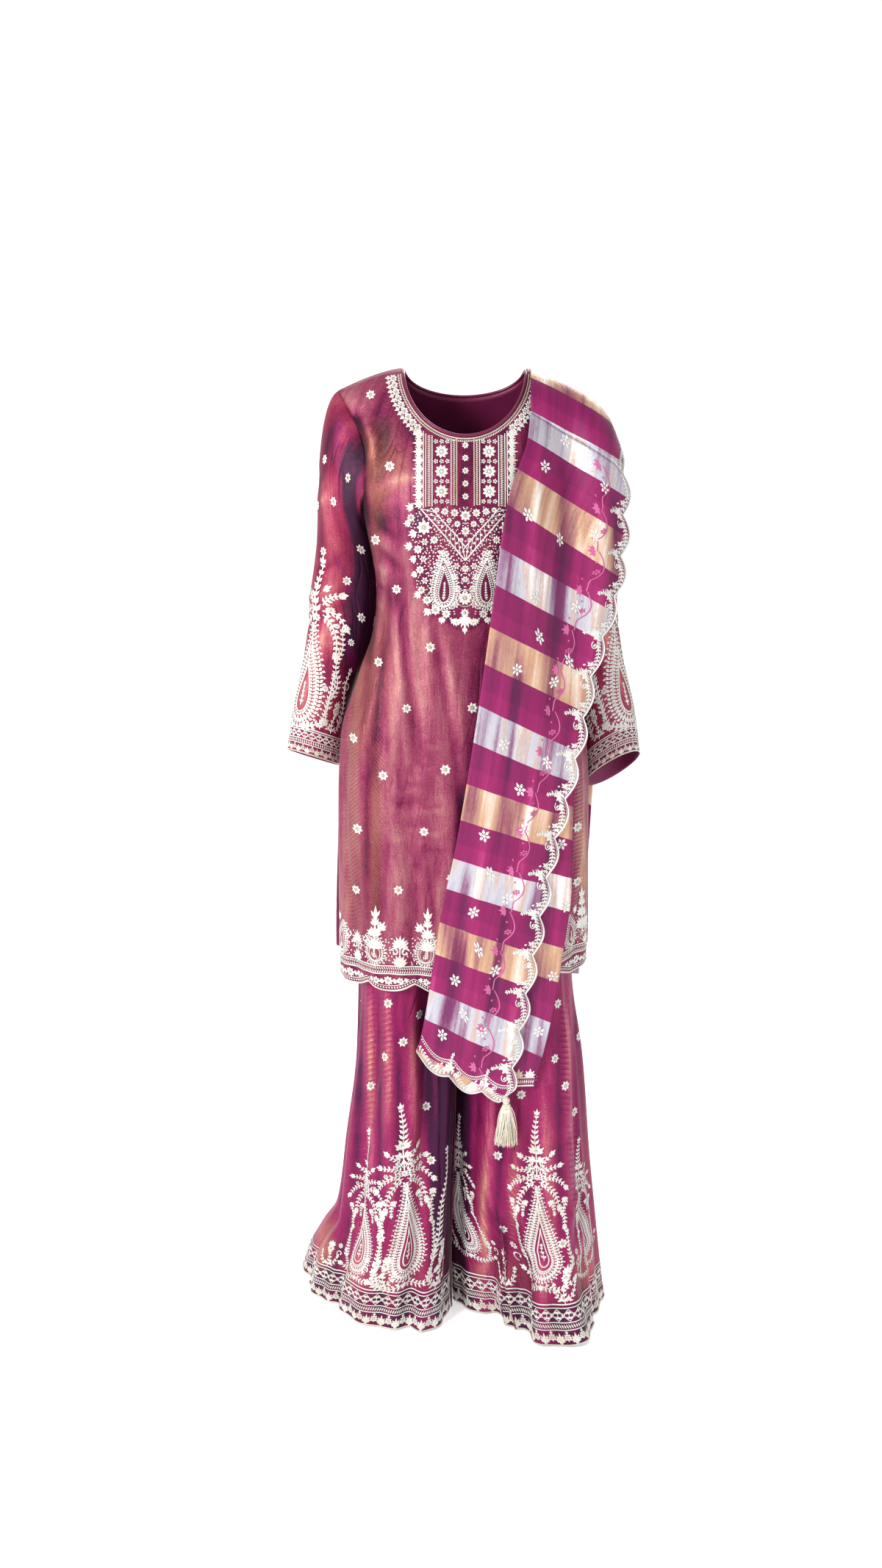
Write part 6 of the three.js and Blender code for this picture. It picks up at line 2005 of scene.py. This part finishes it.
def tall_paisley(pen, tall):
    """The sleeve's motif, its foot at the origin."""
    p = pen.child(size=tall / 170)
    p.paisley(44, 104, 6, (1.0, 0.62), (0.8, 0.42), 8.0, 1.9)
    p.flower(3, 110, 4.6, 8, 0.56)
    p.spray([(4, 112), (6, 136), (3, 166)], 11, 4.8, 7.5, 40, taper=0.45)
    for hand in (1, -1):
        h = p.child(flip=hand)
        feather(h, 30, 20, 3, 36, 10)
        branch(h, [(4, -2), (16, 0), (28, 8)], 7, 3.6)
        branch(h, [(4, 114), (16, 106), (24, 92), (26, 78)], 7.5, 3.8)
        branch(h, [(4, 118), (18, 118), (30, 108)], 7, 3.6)
        branch(h, [(4, 124), (14, 134), (24, 138)], 7, 3.6)
        h.child(5, 140, -50).palmette(10, 3, 64, 4)


def at(cloth, x, z):
    """Cloth coordinates of the place that lies at x and z."""
    r, c = cloth.locate(np.array([x]), np.array([z]), cloth.P[..., 0], cloth.P[..., 2])
    return float(cloth.read(cloth.A, r, c)[0]), float(cloth.read(cloth.B, r, c)[0])


def stand(pen, cloth, foot, top, draw):
    """Draw a tall motif from one place of the cloth to another, both in x and z."""
    (a, b), (a2, b2) = at(cloth, *foot), at(cloth, *top)
    turn = math.degrees(math.atan2(a - a2, b2 - b))
    draw(pen.child(a, b, turn), math.hypot(a2 - a, b2 - b))


STITCHED = {}
for cloth in (kameez_front, kameez_back):  # heights over the straight line of the hem
    cloth.H = cloth.B + hem_cut(np.linspace(0, 1, cloth.P.shape[1]))[None]

STITCHED["kameez_front_zari"] = work = Work(kameez_front, kameez_front.P[..., 0], kameez_front.P[..., 2])
yoke(work)
pen = Pen(work, tone=0.14)
for i, (x, z) in enumerate(grid("""
-142 -42; -112 -149; -135 -257; -103 -330; -52 -416; 12 -507; -88 -509; -125 -613; -29 -601; -62 -698
-102 -792; -157 -385; -132 -442; -172 -560; -166 -700; -170 -800; -20 -770; 40 -690; 60 -600; 120 -250
118 -330; 130 -520; 150 -640; 178 -700; 150 -770; 90 -420; 180 -790; 100 -700; 130 -140
""")):
    pen.flower(x, z, 7.8 + 0.5 * (i % 3), 7, spin=0.37 * i)
STITCHED["kameez_front_hem_zari"] = work = Work(kameez_front, kameez_front.A, kameez_front.H)
kameez_border(work, kameez_front.A[-1, 0] + 3, kameez_front.A[-1, -1] - 3)
for x in (-141, -57, 28, 112, 190):
    a, _ = at(kameez_front, x, -880)
    finial(Pen(work, a, 62, tone=0.14))
STITCHED["kameez_back_zari"] = work = Work(kameez_back, kameez_back.A, kameez_back.H)
kameez_border(work, kameez_back.A[-1, 0] + 3, kameez_back.A[-1, -1] - 3)
Pen(work, tone=0.14).scatter("""
-150 160; -60 120; 40 170; 140 130; -110 290; 0 270; 110 310; -170 400; -50 410; 70 430; 170 410; -110 540
20 560; 120 560; -60 690; 70 700
""", 8.0, 0.5)

for side, cloth in sleeves.items():
    STITCHED[f"sleeve_{side}_zari"] = work = Work(cloth, cloth.A, cloth.B)
    edge = float(np.abs(cloth.A[-1]).max())
    hem_border(work, -edge + 0.5, edge - 0.5, 42)
    pen = Pen(work, tone=0.16)
    tall_paisley(pen.child(-34, 47, 2), 268)
    small_spray(pen.child(-96, 45, 4), 56)
    feather(pen, -76, 46, 6, 52, 12)
    feather(pen, 16, 46, -4, 60, 12)
    small_spray(pen.child(40, 45, -3), 52)
    pen.spray([(-84, 98), (-90, 124), (-82, 152), (-88, 182), (-84, 206)], 11, 4.8, 8)
    pen.spray([(-108, 60), (-112, 90), (-104, 124), (-108, 150)], 10, 4.4, 8)
    pen.spray([(12, 110), (20, 140), (12, 172), (18, 200)], 11, 4.8, 8)
    pen.curl(-98, 128, 9, 20, 0.9, 2.0)
    pen.curl(34, 128, 9, 160, -0.9, 2.0)
    pen.flowers("-62 236 7; -100 196 6.4; 2 230 7; -74 214 5; 10 88 6; -72 112 6", 8, 0.56)
    pen.scatter("""
    -110 240; -84 290; -40 330; -104 350; -20 400; -70 410; -110 450; -36 470; 64 110; 80 210; 50 280
    104 300; 84 390; 108 60; 34 350; 60 460
    """, 8.2, 0.4)

# Each leg's tall sprays from foot to top, its small sprays at x with their height, and its scattered flowers.
BACK_FLOWERS = """40 -700; 110 -740; 150 -860; 70 -880; 30 -1010; 110 -1020; 150 -1150; 60 -1180; 110 -1290
40 -1330; 150 -1400; 90 -520; 130 -620"""
LEG_MOTIFS = {
    "right_front": (
        "-98 -1457 -99 -1150; -180 -1457 -152 -1206", "-138 66; -46 70; -228 54",
        """-126 -1068; -96 -1042; -150 -1130; -60 -1160; -50 -1090; -164 -1010; -120 -980; -70 -1000; -134 -1372
        -52 -1250; -190 -1140""",
    ),
    "left_front": (
        "125 -1446 116 -1160; 14 -1436 -6 -1200; 206 -1440 190 -1230", "70 66; 164 62",
        """150 -985; 146 -1072; 164 -1120; 182 -1180; 70 -1180; 66 -1370; 92 -1130; 190 -1060; 110 -1100
        56 -1240; 160 -1372""",
    ),
    "right_back": ("", "", BACK_FLOWERS),
    "left_back": ("", "", BACK_FLOWERS),
}
for which, cloth in legs.items():
    cloth.lay_out()
    STITCHED[f"leg_{which}_zari"] = work = Work(cloth, cloth.A, cloth.B)
    hem_border(work, cloth.A[-1, 0] + 1, cloth.A[-1, -1] - 1, 66)
    pen = Pen(work, tone=0.14)
    tall, small, flowers = LEG_MOTIFS[which]
    for x, z, top_x, top_z in grid(tall):
        stand(pen, cloth, (x, z), (top_x, top_z), great_spray)
    for x, high in grid(small):
        a, _ = at(cloth, x, -1462)
        small_spray(pen.child(a, 66), high)
    if which == "right_front":
        a, b = at(cloth, -34, -1330)
        pen.child(a, b, -3).spray([(0, -90), (4, -50), (-2, 0), (4, 50), (0, 90)], 12, 5, 9)
    pen.scatter(flowers, 8.6, 0.6, cloth=cloth, mirror=which == "right_back")


# --- the dupatta's edging: u runs in from the scalloped edge, v down along it ---
def edging(pen, total, pitch):
    """A cord on the scalloped edge, a vine inside it, and half a flower and a curl at each cusp."""
    n = int(total / 2.0)
    v = np.linspace(0.5, total - 0.5, n)
    pen.ribbon(np.stack([np.full(n, 1.6), v], 1), 3.2, 1.6, tone=0.05)
    pen.stitches(np.stack([np.full(n, 5.0), v], 1), 2.8, 3.6, 60, 1.7, tone=0.2)
    wave = 10.5 + 2.4 * np.sin(2 * np.pi * v / pitch)
    vine = np.stack([wave, v], 1)
    pen.ribbon(vine, 1.5, tone=0.1)
    x, y, along = path_points(vine, 5.6)
    for hand in (1, -1):
        pen.leaves(x, y, along + hand * 0.9, 6.8, 3.6, tone=0.08)
    for cusp in pitch * np.arange(int(total / pitch) + 2):
        if 8 < cusp < total - 8:
            child = pen.child(13, cusp, -90)
            child.palmette(16, 5, 150, 6.4)
            child.spray([(0, 6), (2, 15), (0, 24)], 7, 3.6, 6)
            pen.child(12, cusp + pitch * 0.26, -70).palmette(10, 3, 80, 4.2)
            pen.child(12, cusp - pitch * 0.26, -110).palmette(10, 3, 80, 4.2)
            pen.curl(24, cusp + 11, 6.5, -60, 0.9, 1.7)
            pen.beads([34, 22, 22], [cusp, cusp + 17, cusp - 14], 2.0)


def square(cloth, total, shear):
    """A Work on a fall laid out from its scalloped edge: in from the edge, and down along it."""
    return Work(cloth, -cloth.A, cloth.T * total + shear * cloth.A)


fall.lay_out(1)
total = float(fall.D[-1, int(0.75 * (fall.P.shape[1] - 1))])
STITCHED["front_fall_edge_zari"] = work = square(fall, total, 0.26)
edging(Pen(work, tone=0.12), total, total / FALL_SCALLOPS)
STITCHED["front_fall_rose_zari"] = work = Work(fall, work.A, work.B)
pen = Pen(work, tone=0.1)
across = np.linspace(0, 1, 13)
for k in range(FALL_SCALLOPS):  # the pale pink scallops that run parallel to the edge
    v = total * (k + across) / FALL_SCALLOPS
    u = 62 + 3 * np.sin(1.7 * k) - 11 * np.sin(np.pi * across)
    pen.ribbon(np.stack([u, v], 1), 2.2)
    pen.child(70, v[0], -90).palmette(13, 5, 150, 5)
    pen.flower(58, v[6], 6.2, 6, 0.6)
    pen.beads([66, 66], [v[3], v[9]], 1.8)
fall.lay_out(0)
STITCHED["front_fall_zari"] = work = Work(fall, fall.A, fall.B)
pen = Pen(work, tone=0.12)
width = float(fall.A[-1, -1])
edging(pen.child(0, 0, -90, flip=-1), width, width / 3)
pen.line(1, width - 18, 30, 2.0, tone=0.3)
pen.stitches(span(2, width - 18, 26), 3.0, 5.6, 60, 2.0, tone=0.25)
pen.scatter("""
118 -150; 150 -110; 196 -250; 142 -256; 104 -340; 170 -356; 78 -448; 136 -470; 60 -560; 126 -590; 30 -700
92 -690; 14 -820; 66 -800; -14 -930; 48 -915; -34 -1020; 28 -1015; 210 -180; 92 -220; 160 -440; 112 -400
84 -630; 40 -760; 22 -880; 0 -985
""", 10.4, 0.3, 6, 0.5, 0.06, fall)

STITCHED["under_layer_zari"] = work = Work(under, under.A, under.B)
pen = Pen(work, tone=0.14)
width = float(under.A[-1, -1])
pen.line(1, width - 1, 2, 2.8, tone=0.1, step=1.4)
pen.stitches(span(1, width - 1, 9), 3.4, 8.5, 84, 2.6, tone=0.25)
pen.line(1, width - 1, 15.5, 1.8)
for k in range(4):
    pen.child(width * (k + 0.5) / 4, 17).palmette(15, 5, 130, 6, tone=0.6 if k == 2 else 0.1)
pen.scatter("170 -470; 160 -600; 150 -720; 158 -820; 140 -930; 118 -1020", 10.0, 0.5, 6, 0.5, 0.06, under)

rear.lay_out(1)
total = float(rear.D[-1, -1])
STITCHED["back_fall_edge_zari"] = work = square(rear, total, 0.3)
edging(Pen(work, tone=0.12), total, 64.0)
rear.lay_out(0)
STITCHED["back_fall_zari"] = work = Work(rear, rear.A, rear.B)
pen = Pen(work, tone=0.12)
pen.scatter("40 60; 90 130; 30 220; 100 300; 40 400; 96 470; 50 560; 96 640; 50 720; 100 800; 60 880",
            10.2, 0.3, 6, 0.5, 0.06)
width = float(rear.A[-1, -1])
pen.line(1, width - 1, 2, 3.0, tone=0.1, step=1.4)
pen.stitches(span(1, width - 1, 8), 3.2, 6.5, 60, 2.2, tone=0.2)
crest.lay_out(1)
STITCHED["shoulder_zari"] = work = Work(crest, -crest.A, crest.D)
edging(Pen(work, tone=0.12), float(crest.D[-1, -1]), 64.0)
crest.lay_out(0)


# ---------- small solids ----------
def tube(path, radius, sides=8, closed=False):
    """Points and faces of a round cord along a path, open ends capped."""
    p = np.asarray(path, float)
    n = len(p)
    radius = np.broadcast_to(np.asarray(radius, float), (n,))
    along = np.roll(p, -1, 0) - np.roll(p, 1, 0) if closed else np.gradient(p, axis=0)
    along /= np.linalg.norm(along, axis=1, keepdims=True)
    side = np.cross(along, [0.12, 0.2, 1.0])
    size = np.linalg.norm(side, axis=1, keepdims=True)
    side = np.where(size > 1e-3, side / np.maximum(size, 1e-9), [1, 0, 0])
    up = np.cross(side, along)
    angle = 2 * np.pi * np.arange(sides) / sides
    ring = side[:, None] * np.cos(angle)[None, :, None] + up[:, None] * np.sin(angle)[None, :, None]
    points = (p[:, None] + ring * radius[:, None, None]).reshape(-1, 3)
    faces = []
    for i in range(n if closed else n - 1):
        j = (i + 1) % n
        for k in range(sides):
            m = (k + 1) % sides
            a, b, c, d = i * sides + k, i * sides + m, j * sides + m, j * sides + k
            faces += [(a, b, c), (a, c, d)]
    if not closed:
        points = np.vstack([points, p[:1], p[-1:]])
        for k in range(sides):
            m = (k + 1) % sides
            faces += [(len(points) - 2, m, k), (len(points) - 1, (n - 1) * sides + k, (n - 1) * sides + m)]
    return points, faces


def gathered(parts):
    """Several lots of points and faces as one."""
    points, faces, start = [], [], 0
    for p, f in parts:
        points.append(p)
        faces.append(np.asarray(f) + start)
        start += len(p)
    return np.vstack(points), np.vstack(faces)


# ---------- the pieces on the stage ----------
def put(obj, replaced, flat=None, rests_on=None):
    """Parents a piece to the root and hides the parts of the model that it replaces. flat, its size in metres
    when spread out, for the cloths, is not used.
    """
    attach(obj, "root")
    if replaced:
        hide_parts(*replaced)


body, rear_body = "kameez_front_cloth", "kameez_back_cloth"
put(kameez_front.mesh([kameez_silk, lining]), ["kameez_front"], (0.50, 0.98), rear_body)
put(kameez_back.mesh([kameez_silk, lining]), ["kameez_back"], (0.50, 0.98), body)
for side, cloth in sleeves.items():
    put(cloth.mesh([sleeve_silk, lining]), [f"sleeve_{side}"], (0.34, 0.58), body)
for which, cloth in legs.items():
    shell = cloth.mesh([leg_silk, lining])
    put(shell, [f"leg_{which}"], (0.36, 1.14), "waistband_cloth")
put(waistband.mesh([band_cloth]), ["sharara_waistband"], (0.80, 0.035), "leg_right_front_cloth")
for cloth, replaced, flat, rests_on in (
    (crest, "dupatta_shoulder", (0.21, 0.25), body),
    (fall, "dupatta_front_fall", (0.22, 1.05), body),
    (under, "dupatta_under_layer", (0.09, 0.96), body),
    (rear, "dupatta_back_fall", (0.17, 0.92), rear_body),
):
    put(cloth.mesh([organza]), [replaced], flat, rests_on)

for name, work in STITCHED.items():
    obj = work.build(name, rose_thread if "rose" in name else zari)
    put(obj, [])


PIPING_RADIUS, PIPING_IN = 2.3, 2.0


def neck_ring():
    """The middle line of the piping that stands on the neck's edge."""
    lines = []
    for cloth in (kameez_front, kameez_back):
        top = cloth.P[0]
        lines.append(top[np.abs(top[:, 0]) <= NECK_HALF + 0.01].copy())
    front, back = lines
    front[0, 1] = front[-1, 1] = back[0, 1] = back[-1, 1] = 0
    ring = np.vstack([front, back[::-1][1:-1]])
    for _ in range(2):
        ring = (np.roll(ring, 1, 0) + 2 * ring + np.roll(ring, -1, 0)) / 4
    # the piping's middle lies in from the edge, up and towards the middle of the neck
    away = np.array([0, ring[:, 1].mean(), 40.0]) - ring
    away[:, 1] *= 0.1
    away /= np.linalg.norm(away, axis=1, keepdims=True)
    return ring + PIPING_IN * away


points, faces = tube(neck_ring(), PIPING_RADIUS, 12, closed=True)
piping = make_mesh("neck_piping_ring", points * 0.001, faces, [piping_satin])
put(piping, ["neck_piping"])

knot_at = fall.P[-1, -1] + [-1, 0.6, -6.3]  # hung from the corner of the front fall
KNOT, FRINGE, THREADS = 5.6, 72, 190  # the knot's radius, the fringe's length and its number of threads


def tassel():
    """A wound knot at the corner of the front fall, and a fringe of threads under it."""
    rng = np.random.default_rng(7)
    coil = []
    for t in np.linspace(0, 1, 90):  # the knot is wound round
        turn = t * 2 * np.pi * 6
        polar = np.pi * (0.06 + 0.88 * t)
        r = KNOT * np.sin(polar)
        coil.append(knot_at + [r * np.cos(turn), r * np.sin(turn), KNOT * np.cos(polar)])
    parts = [
        tube(coil, 0.9, 6),
        tube([knot_at + [0, 0, KNOT], knot_at, knot_at - [0, 0, KNOT]], [2, 5.0, 2], 10),
        tube([knot_at + [0, 0, 4], knot_at + [1, -0.6, 12]], 0.8, 6),
    ]
    top = knot_at - [0, 0, 6.4]
    for _ in range(THREADS):
        a, r = rng.uniform(0, 2 * np.pi), np.sqrt(rng.uniform(0, 1))
        spread = rng.uniform(0.86, 1.12)
        length = FRINGE * rng.uniform(0.82, 1.0)
        sway = rng.normal(0, 2.2, 2)
        line = []
        for t in np.linspace(0, 1, 9):
            wide = (3.8 + 3.4 * ease(t / 0.2) + 10.8 * t**1.2) * spread
            x = wide * r * np.cos(a) + sway[0] * np.sin(3 * t + a)
            y = 0.46 * wide * r * np.sin(a) + sway[1] * 0.5 * np.sin(3 * t)
            line.append(top + [x, y, -length * t])
        parts.append(tube(line, np.linspace(0.75, 0.5, 9), 4))
    for down in (9.5, 11.3, 13.1):  # the thread bound round the top of the fringe
        a = np.linspace(0, 2 * np.pi, 25)[:-1]
        ring = np.stack([6.9 * np.cos(a), 3.7 * np.sin(a), np.full_like(a, -down)], 1) + top
        parts.append(tube(ring, 1.0, 6, closed=True))
    return gathered(parts)


points, faces = tassel()
tassel_obj = make_mesh("tassel_threads", points * 0.001, faces, [tassel_silk])
put_field(tassel_obj, "tone", np.full(len(points), 0.08))
put(tassel_obj, ["tassel_knot", "tassel_fringe"])


# ---------- stage, camera and light ----------
FLOOR = -1.531
floor_data = bpy.data.meshes.new("floor")
floor_data.from_pydata([(-9, -9, FLOOR), (9, -9, FLOOR), (9, 9, FLOOR), (-9, 9, FLOOR)], [], [(0, 1, 2, 3)])
floor = bpy.data.objects.new("floor", floor_data)
bpy.context.collection.objects.link(floor)
glow = {"Emission_Color": (1.0, 1.0, 1.0, 1.0), "Emission_Strength": 0.35}
floor_data.materials.append(Graph("pale_floor").finish((0.93, 0.93, 0.93), Roughness=0.85, **glow))
floor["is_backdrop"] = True

world = bpy.data.worlds.new("white_room")
bpy.context.scene.world = world
world.use_nodes = True
tree = world.node_tree
room = tree.nodes["Background"]
room.inputs[0].default_value, room.inputs[1].default_value = (1, 1, 1, 1), 0.6
paper = tree.nodes.new("ShaderNodeBackground")  # what stands behind the garment
paper.inputs[0].default_value, paper.inputs[1].default_value = (1, 1, 1, 1), 1.0
seen, both = tree.nodes.new("ShaderNodeLightPath"), tree.nodes.new("ShaderNodeMixShader")
tree.links.new(seen.outputs["Is Camera Ray"], both.inputs[0])
tree.links.new(room.outputs[0], both.inputs[1])
tree.links.new(paper.outputs[0], both.inputs[2])
tree.links.new(both.outputs[0], tree.nodes["World Output"].inputs[0])


def lamp(name, place, aim, size, power):
    """An area lamp aimed at a place."""
    data = bpy.data.lights.new(name, "AREA")
    data.size, data.energy = size, power
    obj = bpy.data.objects.new(name, data)
    obj.location = place
    obj.rotation_euler = (Vector(aim) - Vector(place)).to_track_quat("-Z", "Y").to_euler()
    bpy.context.collection.objects.link(obj)
    obj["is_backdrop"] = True


lamp("key", (-2.2, -2.1, 0.6), (0, 0, -0.7), 0.9, 80)
lamp("fill", (2.2, -2.0, -0.2), (0, 0, -0.8), 2.2, 14)
lamp("rim", (0.8, 2.4, 1.8), (0, 0, -0.5), 1.6, 40)

camera_data = bpy.data.cameras.new("camera")
camera_data.lens, camera_data.sensor_width = 31.87, 36  # millimetres
camera = bpy.data.objects.new("camera", camera_data)
camera.location = (-0.036, -2.2, -0.22)
camera.rotation_euler = (math.radians(90 - 10.97), 0, 0)  # looking 10.97 degrees down
bpy.context.collection.objects.link(camera)
bpy.context.scene.camera = camera
bpy.context.scene.view_settings.view_transform = "Standard"
bpy.context.scene.view_settings.look = "Medium High Contrast"

low, high = (list(map(float, v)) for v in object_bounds())
